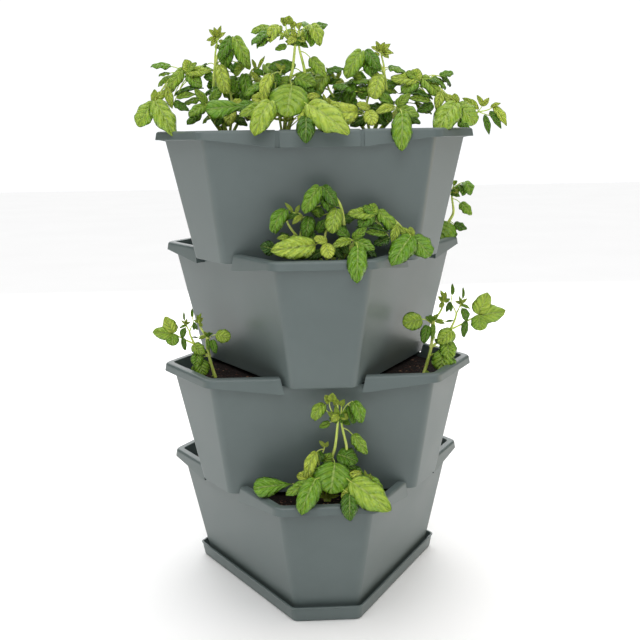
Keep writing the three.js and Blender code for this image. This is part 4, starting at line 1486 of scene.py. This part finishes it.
SPRIG = PlantKind(stems=(
    Stem(((0, 0, 0), (0.04, 0, 0.14), (0.08, 0, 0.3), (0.09, 0, 0.44), (0.095, 0, 0.58), (0.15, 0, 0.66),
          (0.2, 0, 0.75), (0.22, 0, 0.84)), 5.6, 2.6),
    Stem(((0.07, 0, 0.3), (0.2, 0, 0.4), (0.29, 0, 0.5), (0.35, 0, 0.63), (0.36, 0, 0.69)), 4.2, 2.8),
    Stem(((0.36, 0, 0.68), (0.33, 0, 0.75), (0.3, 0, 0.8), (0.31, 0, 0.9)), 2.2, 1.6),
    Stem(((0.36, 0, 0.68), (0.4, 0, 0.77), (0.42, 0, 0.85)), 2.2, 1.6),
    Stem(((0.29, 0, 0.5), (0.42, 0, 0.56), (0.53, 0, 0.62), (0.6, 0, 0.65)), 3.0, 2.0),
    Stem(((0.07, 0, 0.31), (0.11, -0.01, 0.45), (0.11, -0.01, 0.6)), 4.4, 3.0),
), leaves=(
    Leaf(F.ROUND, (-0.03, -0.02, 0.63), (-0.245, -0.06, 0.57), 0.22, (0, 0.55), 0.62, (0, -1, 0.6)),
    Leaf(F.HANGING, (0.03, -0.03, 0.55), (-0.02, -0.1, 0.35), 0.13, (0, 0.5), 0.18, (-0.2, -1, 0.4)),
    Leaf(F.HANGING, (0.1, -0.02, 0.56), (0.08, -0.08, 0.4), 0.07, (0, 0.5), 0.3, (0, -1, 0.4)),
    Leaf(F.BROAD, (0.31, -0.04, 0.49), (0.14, -0.1, 0.34), 0.2, (1, 0.6), 0.5, (-0.2, -1, 0.5)),
    Leaf(F.ROUND, (0.24, -0.05, 0.38), (0.27, -0.1, 0.17), 0.2, (1, 0.3), 0.42, (0, -1, 0.3)),
    Leaf(F.ROUND, (0.22, -0.06, 0.27), (0.17, -0.1, 0.03), 0.25, (0, 0.3), 0.5, (-0.1, -1, 0.5)),
    Leaf(F.BROAD, (0.27, -0.04, 0.2), (0.34, -0.06, 0.05), 0.12, (0, 0.2), 0.4, (0.2, -1, 0.5)),
    Leaf(F.BROAD, (0.16, -0.05, 0.23), (0.1, -0.08, 0.08), 0.12, (0, 0.2), 0.2, (0, -1, 0.5)),
    Leaf(F.BROAD, (0.6, 0, 0.67), (0.7, -0.02, 0.91), 0.23, (4, 1.0), 0.62, (0.2, -1, 0.1)),
    Leaf(F.BROAD, (0.62, -0.01, 0.65), (0.9, -0.03, 0.69), 0.22, (4, 1.0), 0.5, (0, -1, 0.5)),
    Leaf(F.ROUND, (0.6, -0.02, 0.66), (0.62, -0.06, 0.48), 0.2, (4, 0.97), 0.45, (0, -1, 0.4)),
    Leaf(F.LANCE, (0.42, -0.01, 0.74), (0.47, -0.03, 0.58), 0.11, (3, 0.5), 0.2, (0.4, -1, 0.3)),
    Leaf(F.HANGING, (0.46, -0.02, 0.59), (0.43, -0.06, 0.41), 0.09, (4, 0.6), 0.2),
    Leaf(F.BUD, (0.31, 0, 0.89), (0.31, 0, 1.02), 0.06, (2, 1.0), 0.3),
    Leaf(F.BUD, (0.43, 0, 0.85), (0.43, 0, 0.98), 0.045, (3, 1.0), 0.2),
    Leaf(F.LANCE, (0.22, 0, 0.8), (0.15, -0.01, 0.88), 0.06, (0, 0.95), 0.6),
    Leaf(F.BUD, (0.22, 0, 0.82), (0.18, 0, 0.95), 0.07, (0, 1.0), 0.65),
    Leaf(F.BUD, (0.22, 0, 0.83), (0.24, 0, 0.93), 0.06, (0, 1.0), 0.75),
    Leaf(F.LANCE, (0.22, -0.01, 0.8), (0.16, -0.03, 0.75), 0.06, (0, 0.95), 0.7),
    Leaf(F.LANCE, (0.23, 0, 0.81), (0.29, -0.01, 0.85), 0.05, (0, 0.96), 0.6),
    Leaf(F.HANGING, (0.29, -0.01, 0.81), (0.24, -0.04, 0.7), 0.06, (2, 0.6), 0.05),
    Leaf(F.HANGING, (0.29, -0.01, 0.8), (0.29, -0.04, 0.7), 0.055, (2, 0.6), 0.05),
    Leaf(F.SAIL, (0.08, -0.01, 0.59), (0.01, -0.02, 0.65), 0.06, (0, 0.55), 0.2),
    Leaf(F.SAIL, (0.09, -0.01, 0.6), (0.05, -0.02, 0.67), 0.055, (0, 0.58), 0.4),
    Leaf(F.LANCE, (0.1, -0.01, 0.61), (0.15, -0.02, 0.68), 0.055, (0, 0.6), 0.55),
    Leaf(F.LANCE, (0.12, -0.01, 0.6), (0.23, -0.02, 0.57), 0.055, (0, 0.6), 0.6),
    Leaf(F.LANCE, (0.24, -0.01, 0.59), (0.33, -0.02, 0.6), 0.03, (0, 0.65), 0.2),
    Leaf(F.LANCE, (0.4, 0, 0.78), (0.48, -0.01, 0.85), 0.04, (3, 0.5), 0.65),
    Leaf(F.LANCE, (0.4, 0, 0.78), (0.51, -0.02, 0.73), 0.045, (3, 0.5), 0.35),
    Leaf(F.LANCE, (0.4, 0, 0.79), (0.34, -0.01, 0.82), 0.04, (3, 0.5), 0.65),
    Leaf(F.BUD, (0.4, 0, 0.79), (0.39, 0, 0.88), 0.04, (3, 0.6), 0.65),
    Leaf(F.LANCE, (0.12, -0.01, 0.4), (0.17, -0.03, 0.33), 0.05, (5, 0.5), 0.1),
    Leaf(F.LANCE, (0.01, -0.01, 0.03), (0.06, -0.03, 0.02), 0.03, (0, 0.04), 0.6),
))

TWIG = PlantKind(stems=(
    Stem(((0, 0, 0), (0.25, 0, 0.2), (0.5, 0, 0.4), (0.64, 0, 0.48), (0.76, 0, 0.52),
          (0.83, 0, 0.58)), 3.4, 1.6),
    Stem(((0.66, 0, 0.48), (0.76, 0, 0.42), (0.8, 0, 0.4)), 1.8, 1.2),
    Stem(((0.62, 0, 0.47), (0.66, 0, 0.52), (0.7, 0, 0.62)), 1.8, 1.2),
), leaves=(
    Leaf(F.LANCE, (0.65, 0, 0.54), (0.43, -0.02, 0.78), 0.1, (2, 0.3), 0.6, (0, -1, 0.4)),
    Leaf(F.LANCE, (0.83, 0, 0.6), (1.0, -0.04, 0.18), 0.13, (0, 1.0), 1.0, (0.3, -1, 0.3)),
    Leaf(F.LANCE, (0.79, -0.01, 0.5), (0.93, -0.05, 0.12), 0.1, (1, 0.8), 0.1, (0, -1, 0.3)),
    Leaf(F.LANCE, (0.72, -0.01, 0.42), (0.78, -0.04, 0.0), 0.09, (1, 0.5), 0.1, (0, -1, 0.2)),
    Leaf(F.LANCE, (0.64, 0, 0.47), (0.5, -0.02, 0.4), 0.07, (0, 0.6), 0.6, (0, -1, 0.5)),
    Leaf(F.LANCE, (0.7, 0, 0.6), (0.62, -0.01, 0.84), 0.07, (2, 1.0), 0.7, (0, -1, 0.3)),
    Leaf(F.LANCE, (0.7, 0, 0.6), (0.78, -0.01, 0.78), 0.07, (2, 1.0), 0.75, (0, -1, 0.3)),
    Leaf(F.LANCE, (0.8, 0, 0.58), (0.93, -0.01, 0.66), 0.06, (0, 0.95), 0.8, (0, -1, 0.6)),
    Leaf(F.BROAD, (0.45, 0, 0.36), (0.33, -0.03, 0.5), 0.12, (0, 0.4), 0.45, (0, -1, 0.6)),
    Leaf(F.BROAD, (0.4, 0, 0.3), (0.52, -0.05, 0.12), 0.14, (0, 0.35), 0.3, (0, -1, 0.5)),
    Leaf(F.HANGING, (0.26, 0, 0.28), (0.24, -0.08, 0.02), 0.16, (0, 0.2), 0.3, (0, -1, 0.4)),
    Leaf(F.BROAD, (0.22, 0.02, 0.3), (0.1, 0.0, 0.5), 0.16, (0, 0.2), 0.2, (0, -1, 0.5)),
))


class PlantGrowth(Enum):
    """The kinds of plant in the tower."""
    UPRIGHT = UPRIGHT
    BUSH = BUSH
    CROWNED_BUSH = PlantKind(BUSH.stems + BUSH_CROWN.stems, BUSH.leaves + tuple(
        replace(leaf, springs=(len(BUSH.stems), leaf.springs[1])) for leaf in BUSH_CROWN.leaves
    ))
    SPRIG = SPRIG
    TWIG = TWIG


# Painted light: how far the leaves' tone is lifted towards young yellow-green on each tray, from the bottom
# one up, for the light that falls on it; most on the top tray, which stands most in the light
PAINTED_LIGHT_BY_TRAY = (0.06, 0.13, 0.04, 0.2)
# Rise of the leaves per mm towards the front, for each tray further down, which is seen more from above
LEAN_PER_TRAY = 0.125
TOP_TIER = 3


@dataclass(frozen=True)
class Plant:
    """One plant: its node, the tray that it grows in, its root and its size in mm.

    Hand is one, or minus one for a mirrored plant. Without lists leaves of its kind that it lacks, backing
    counts the leaves added on its far side, stand lifts its low places, and tilt leans it to the right.
    """
    name: str
    tier: int
    growth: PlantGrowth
    root: tuple[float, float]
    spread: float
    height: float
    hand: int = 1
    without: tuple[int, ...] = ()
    backing: int = 0
    stand: float = 0.0
    tilt: float = 0.0

    def place(self, share: Place, foot: float) -> Vector:
        """Finds a point of the plant; all but the root stand a little higher with its stand.

        Args:
            share: Place across, back and up, as shares of the spread and the height.
            foot: Height of the compost in mm.

        Returns:
            The point in mm.
        """
        across, back, up = share
        rise = (up + self.stand * (1 - up)) * self.height if up else 0.0
        lean = LEAN_PER_TRAY * (TOP_TIER - self.tier)
        return Vector((
            self.root[0] + self.hand * across * self.spread + self.tilt * rise,
            self.root[1] + back * self.spread, foot + rise - lean * back * self.spread,
        ))


def along_stem(points: Sequence[Vector], share: float) -> Vector:
    """Point at a share of the way along a stem.

    Args:
        points: The stem's places.
        share: Nought at its foot to one at its tip.

    Returns:
        The point.
    """
    reach = share * (len(points) - 1)
    step = min(int(reach), len(points) - 2)
    return points[step].lerp(points[step + 1], reach - step)


@dataclass
class Planting:
    """All the plants, their blades set by one Geometry Nodes tree and their stems swept by another."""
    compost: Compost
    plants: tuple[Plant, ...]
    rows: int = 18
    columns: int = 10
    blade_thickness: float = 0.014
    stalk_mm: float = 1.5
    # A stalk's ends as shares of its diameter, how far it enters the blade, and how high it bows
    stalk_ends: tuple[float, float] = (1.15, 0.8)
    stalk_entry: float = 0.04
    stalk_bow: float = 0.12
    stem_sides: int = 10
    stem_spacing_mm: float = 4
    # How far a leaf's tone may stray, and how fast that changes from leaf to leaf
    tone_spread: float = 0.08
    tone_step: float = 7.3
    # The leaves drawn for a far side: how far past the sides they turn in radians, and in shares of the plant
    # how low they may spring, how long they are, how far out and up they begin and end, and their dark
    # old-green tones, which also paint the shade deep in the foliage
    past_side: float = 0.5
    lowest_spring: float = 0.1
    lengths: tuple[float, float] = (0.12, 0.24)
    outs: tuple[float, float] = (0.05, 0.2)
    lifts: tuple[float, float] = (0.0, 0.08)
    drops: tuple[float, float] = (-0.14, 0.04)
    far_shaded_tones: tuple[float, float] = (0.0, 0.5)
    far_width: float = 0.75
    set_back: float = 0.04
    most_stems: int = 5

    def blade(self, form: LeafForm, number: int) -> Object:
        """A closed blade of unit length and width, with its across, along and underside values.

        Args:
            form: The form of its leaf.
            number: Number that keeps the blades in order.

        Returns:
            The blade, in no collection.
        """
        shape = form.value
        end = shape.midrib(1.0)
        chord = math.hypot(end[0], end[1])
        level = Matrix.Rotation(-math.atan2(end[1], end[0]), 4, "X")
        spread = [-1 + 2 * step / self.columns for step in range(self.columns + 1)]
        loop = [(across, 1.0) for across in spread[1:-1]] + [(across, 0.0) for across in reversed(spread)]
        rings: list[list[Vector]] = []
        values: list[float] = []
        for row in range(self.rows + 1):
            share = 0.5 - 0.5 * math.cos(math.pi * row / self.rows)
            ring = []
            for across, below in loop:
                thick = self.blade_thickness * (1 - across ** 2) * (0.5 - below)
                point = level @ shape.point(across, share, thick)
                ring.append(Vector((point.x, point.y / chord, point.z / chord)))
                values += (across, share, below)
            rings.append(ring)
        piece = mesh_piece(f"blade_{number:02d}", *closed_skin(rings))
        bpy.context.scene.collection.objects.unlink(piece)
        piece.data.attributes.new("blade", "FLOAT_VECTOR", "POINT").data.foreach_set("vector", values)
        return piece

    def leaf_tree(self) -> NodeTree:
        """Geometry Nodes tree that sets a blade on every point, with the point's form, turn and size.

        Returns:
            The tree.
        """
        tree, given = new_geometry_tree("leaf_spray", Blades="Collection", Material="Material")
        blades = add_node(tree, "GeometryNodeCollectionInfo", {
            "Collection": given["Blades"], "Separate Children": True, "Reset Children": True,
        })
        turn, form, size = [
            add_node(tree, "GeometryNodeInputNamedAttribute", {"Name": name}, data_type=kind)
            for name, kind in (("turn", "FLOAT_VECTOR"), ("form", "INT"), ("size", "FLOAT_VECTOR"))
        ]
        leaves = add_node(tree, "GeometryNodeInstanceOnPoints", {
            "Points": given["Geometry"], "Instance": blades, "Pick Instance": True, "Instance Index": form,
            "Rotation": add_node(tree, "FunctionNodeEulerToRotation", {"Euler": turn}), "Scale": size,
        })
        close_geometry_tree(tree, leaves, given["Material"])
        return tree

    def stem_tree(self) -> NodeTree:
        """Geometry Nodes tree that sweeps a round stem along every spline, as thick as its points say.

        Returns:
            The tree.
        """
        tree, given = new_geometry_tree("stem_sweep", Sides="Int", Spacing="Float", Material="Material")
        smooth = add_node(tree, "GeometryNodeCurveSplineType", {
            "Curve": given["Geometry"],
        }, spline_type="CATMULL_ROM")
        fine = add_node(tree, "GeometryNodeResampleCurve", {
            "Curve": smooth, "Length": given["Spacing"],
        }, mode="LENGTH")
        circle = add_node(tree, "GeometryNodeCurvePrimitiveCircle", {
            "Resolution": given["Sides"], "Radius": 1.0,
        })
        swept = add_node(tree, "GeometryNodeCurveToMesh", {
            "Curve": fine, "Profile Curve": circle, "Scale": add_node(tree, "GeometryNodeInputRadius"),
            "Fill Caps": True,
        })
        close_geometry_tree(tree, swept, given["Material"])
        return tree

    def leaves_of(self, plant: Plant) -> list[Leaf]:
        """Lists a plant's leaves: those of its kind, and on the far side more, drawn with a fixed seed.

        Args:
            plant: The plant.

        Returns:
            The leaves.
        """
        kind = plant.growth.value
        leaves = [leaf for number, leaf in enumerate(kind.leaves) if number not in plant.without]
        draw = random.Random(plant.name)
        main = range(min(self.most_stems, len(kind.stems)))
        for _ in range(plant.backing):
            stem, share = draw.choice(main), draw.uniform(self.lowest_spring, kind.leafy)
            start = along_stem([Vector(place) for place in kind.stems[stem].places], share)
            turn, reach = draw.uniform(-self.past_side, math.pi + self.past_side), draw.uniform(*self.lengths)
            way = Vector((math.cos(turn), math.sin(turn), 0))
            out = way * draw.uniform(*self.outs)
            base = start + out + Vector((0, self.set_back, draw.uniform(*self.lifts)))
            tip = base + way * reach + Vector((0, 0, draw.uniform(*self.drops)))
            form = draw.choice((LeafForm.BROAD, LeafForm.HANGING, LeafForm.TOOTHED, LeafForm.ROUND))
            # Dark old-green tones, which also paint the shade deep in the foliage
            tone, face = draw.uniform(*self.far_shaded_tones), (0.5 * way.x, -0.6, 1.0)
            width = self.far_width * reach
            leaves.append(Leaf(form, tuple(base), tuple(tip), width, (stem, share), tone, face))
        return leaves

    def sweep(self, name: str, tubes: Sequence[Tube], tree: NodeTree,
              finish: Material) -> Object:
        """Sweeps stems and stalks that taper from foot to tip.

        Args:
            name: Name of the result.
            tubes: The places of each in mm, and its radii at both ends.
            tree: The tree that sweeps them.
            finish: Their material.

        Returns:
            The stems as one mesh object.
        """
        curve = bpy.data.curves.new(name, "CURVE")
        curve.dimensions = "3D"
        for points, thick, thin in tubes:
            spline = curve.splines.new("POLY")
            spline.points.add(len(points) - 1)
            for step, (spot, point) in enumerate(zip(spline.points, points)):
                spot.co = (*(point * MM), 1)
                spot.radius = (thick + (thin - thick) * step / (len(points) - 1)) * MM
        return run_tree(add_object(name, curve), tree, {
            "Sides": self.stem_sides, "Spacing": self.stem_spacing_mm * MM, "Material": finish,
        })

    def grow(self, plant: Plant, blades: Collection, trees: Sequence[NodeTree],
             materials: Materials) -> None:
        """Builds one plant's leaves and stems and puts them in its node's stead.

        Args:
            plant: The plant.
            blades: One blade of each form.
            trees: The tree that sets the leaves, and the one that sweeps the stems.
            materials: The tower's materials.
        """
        stack = self.compost.stack
        foot = stack.level(plant.tier) + self.compost.surface(plant.tier) + stack.gap
        kind, forms = plant.growth.value, list(LeafForm)
        stems = [[plant.place(place, foot) for place in stem.places] for stem in kind.stems]
        tubes: list[Tube] = [
            (points, stem.foot / 2, stem.tip / 2) for stem, points in zip(kind.stems, stems)
        ]
        spots: list[Vector] = []
        values: dict[str, list[float]] = {"turn": [], "size": [], "form": [], "tone": []}
        for number, leaf in enumerate(self.leaves_of(plant)):
            base, tip = plant.place(leaf.base, foot), plant.place(leaf.tip, foot)
            run = tip - base
            face = Vector((plant.hand * leaf.face[0], leaf.face[1], leaf.face[2]))
            along = run.normalized()
            up = (face - along * face.dot(along)).normalized()
            width = leaf.width * plant.spread
            stray = self.tone_spread * math.sin(self.tone_step * number + plant.root[0])
            spots.append(base * MM)
            values["turn"] += Matrix((along.cross(up), along, up)).transposed().to_euler()
            values["size"] += (width * MM, run.length * MM, (width + run.length) / 2 * MM)
            values["form"].append(forms.index(leaf.form))
            # The tray's painted light lifts every leaf's tone
            values["tone"].append(min(1.0, max(0.0, leaf.tone + PAINTED_LIGHT_BY_TRAY[plant.tier] + stray)))
            start = along_stem(stems[leaf.springs[0]], leaf.springs[1])
            bow = start.lerp(base, 0.5) + Vector((0, 0, self.stalk_bow * (base - start).length))
            thick, thin = (self.stalk_mm / 2 * end for end in self.stalk_ends)
            tubes.append(([start, bow, base, base + run * self.stalk_entry], thick, thin))
        seat = mesh_piece(f"{plant.name}_leaves", spots, [])
        for name, kind_of_value, key in (
            ("turn", "FLOAT_VECTOR", "vector"), ("size", "FLOAT_VECTOR", "vector"), ("form", "INT", "value"),
            ("tone", "FLOAT", "value"),
        ):
            seat.data.attributes.new(name, kind_of_value, "POINT").data.foreach_set(key, values[name])
        leaves = run_tree(seat, trees[0], {"Blades": blades, "Material": materials.leaf})
        stalks = self.sweep(f"{plant.name}_stems", tubes, trees[1], materials.stem)
        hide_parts(plant.name)
        for piece in (leaves, stalks):
            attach(piece, f"tray_{plant.tier + 1}_body")
        counts = (len(leaves.data.polygons), len(stalks.data.polygons))
        LOG.info("%s: leaves %d faces, stems %d faces", plant.name, *counts)

    def build(self, materials: Materials) -> None:
        """Builds every plant.

        Args:
            materials: The tower's materials.
        """
        blades = bpy.data.collections.new("leaf_blades")
        for number, form in enumerate(LeafForm):
            blades.objects.link(self.blade(form, number))
        trees = (self.leaf_tree(), self.stem_tree())
        for plant in self.plants:
            self.grow(plant, blades, trees, materials)
        discard(*blades.objects)
        bpy.data.collections.remove(blades)


PLANTS = (
    Plant("upright_plant_1_front", 0, PlantGrowth.UPRIGHT, (3, -170), 174, 172),
    Plant("sprig_plant_2_left", 1, PlantGrowth.SPRIG, (-163.6, -92.8), 104.4, 108.4, -1),
    Plant("sprig_plant_2_right", 1, PlantGrowth.SPRIG, (162, -107), 140, 140),
    Plant("bushy_plant_3_front", 2, PlantGrowth.BUSH, (12, -186), 145, 118),
    Plant("upright_plant_3_back", 2, PlantGrowth.UPRIGHT, (203, 88), 172, 118, 1,
          (*range(1, 12), *range(34, 42), 43, 44), tilt=0.13),
    Plant("bushy_plant_4_left", 3, PlantGrowth.CROWNED_BUSH, (-133, -80), 133, 147, -1, (13,), 44),
    Plant("upright_plant_4_centre", 3, PlantGrowth.UPRIGHT, (-50, -136), 174, 172, 1, (), 30, 0.11),
    Plant("bushy_plant_4_right", 3, PlantGrowth.CROWNED_BUSH, (80, -124), 152.4, 122, 1, (), 44),
    Plant("sprig_plant_4_right", 3, PlantGrowth.TWIG, (172, -64), 122, 72),
)


# Studio


@dataclass(frozen=True)
class SoftBox:
    """A square soft light: its place and size in metres, its power in watts and the height it looks at."""
    name: str
    spot: Place
    size: float
    power: float
    colour: str = "ffffff"
    aim: float = 0.35


@dataclass(frozen=True)
class Studio:
    """Pale floor, soft lights and a camera where the photographer stood.

    The camera's place is in mm, its angles in radians and its focal length in the photograph's pixels.
    """
    distance: float = 1600.0
    eye_height: float = 732.9
    pan: float = 0.0038
    tilt: float = -0.1877
    roll: float = -0.0136
    yaw: float = 0.0483
    focal_px: float = 986.35
    frame_px: float = 640.0
    sensor_mm: float = 36.0
    # Nearest and furthest that the camera sees, and half the floor's side, in metres
    clip_m: tuple[float, float] = (0.05, 60)
    floor_half_m: float = 12.0
    floor_drop_m: float = 0.0002
    overhead: float = 3.0
    overhead_degrees: float = 100
    # The white around the tower, as the tower sees it and as the camera does
    sky_colour: str = "fbfdff"
    sky: float = 0.03
    sky_seen: float = 1.1
    boxes: tuple[SoftBox, ...] = (
        SoftBox("softbox_left", (-1.7, -0.1, 0.3), 0.9, 2, "ffeacf", 0.15),
        SoftBox("softbox_right", (1.7, 0.0, 0.3), 0.9, 4.5, "ffe2b8", 0.15),
        SoftBox("softbox_back", (0.0, 2.4, 1.5), 2.8, 42),
        SoftBox("softbox_front", (-0.2, -2.6, 1.9), 1.4, 18),
    )

    def camera(self) -> None:
        """Makes the camera."""
        data = bpy.data.cameras.new("camera")
        data.sensor_width = self.sensor_mm
        data.lens = self.focal_px / self.frame_px * data.sensor_width
        data.clip_start, data.clip_end = self.clip_m
        turn = Matrix.Rotation(-self.yaw, 3, "Z")
        level = math.cos(self.tilt)
        forward = turn @ Vector((math.sin(self.pan) * level, math.cos(self.pan) * level, math.sin(self.tilt)))
        right = turn @ Vector((math.cos(self.pan), -math.sin(self.pan), 0))
        up = right.cross(forward)
        across = right * math.cos(self.roll) + up * math.sin(self.roll)
        above = up * math.cos(self.roll) - right * math.sin(self.roll)
        place = Matrix.Translation(turn @ Vector((0, -self.distance, self.eye_height)) * MM)
        camera = add_object("camera", data)
        camera.matrix_world = place @ Matrix((across, above, -forward)).transposed().to_4x4()
        bpy.context.scene.camera = camera

    def light(self, box: SoftBox) -> None:
        """Makes a soft square light that looks at the axis of the tower.

        Args:
            box: The light.
        """
        data = bpy.data.lights.new(box.name, "AREA")
        data.size = box.size
        data.energy = box.power
        data.color = linear(box.colour)[:3]
        light = add_object(box.name, data)
        light.location = box.spot
        look = Vector((0, 0, box.aim)) - Vector(box.spot)
        light.rotation_euler = look.to_track_quat("-Z", "Y").to_euler()
        light.visible_camera = False

    def build(self) -> None:
        """Makes the floor, the lights and the camera."""
        corners = [(-1, -1), (1, -1), (1, 1), (-1, 1)]
        points = [(x * self.floor_half_m, y * self.floor_half_m, 0) for x, y in corners]
        floor = mesh_piece("studio_floor", points, [(0, 1, 2, 3)])
        floor.location = (0, 0, -self.floor_drop_m)
        floor.data.materials.append(StudioPaper().material())
        world = bpy.data.worlds.new("studio_white")
        bpy.context.scene.world = world
        world.use_nodes = True
        tree = world.node_tree
        tree.nodes.clear()
        seen = add_node(tree, "ShaderNodeLightPath").outputs["Is Camera Ray"]
        glow = add_node(tree, "ShaderNodeMapRange", {
            "Value": seen, "To Min": self.sky, "To Max": self.sky_seen,
        })
        sky = add_node(tree, "ShaderNodeBackground", {"Color": linear(self.sky_colour), "Strength": glow})
        add_node(tree, "ShaderNodeOutputWorld", {"Surface": sky})
        for box in self.boxes:
            self.light(box)
        data = bpy.data.lights.new("overhead", "SUN")
        data.energy = self.overhead
        data.angle = math.radians(self.overhead_degrees)
        add_object("overhead", data)
        bpy.context.scene.view_settings.view_transform = "Standard"
        self.camera()


def main() -> None:
    """Builds the tower and its studio."""
    logging.basicConfig(level=logging.INFO, format="%(name)s: %(message)s")
    Studio().build()
    materials = Materials(*(finish.material() for finish in (
        MouldedPolypropylene(), DampCompost(), BarkChips(), LivingLeaf(), LivingStem(),
    )))
    stack = TrayStack()
    stack.build(materials.plastic)
    roots: dict[int, list[tuple[float, float]]] = {}
    for plant in PLANTS:
        roots.setdefault(plant.tier, []).append(plant.root)
    compost = Compost(stack, roots)
    compost.build(materials)
    Planting(compost, PLANTS).build(materials)
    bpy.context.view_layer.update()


if __name__ == "__main__":
    main()
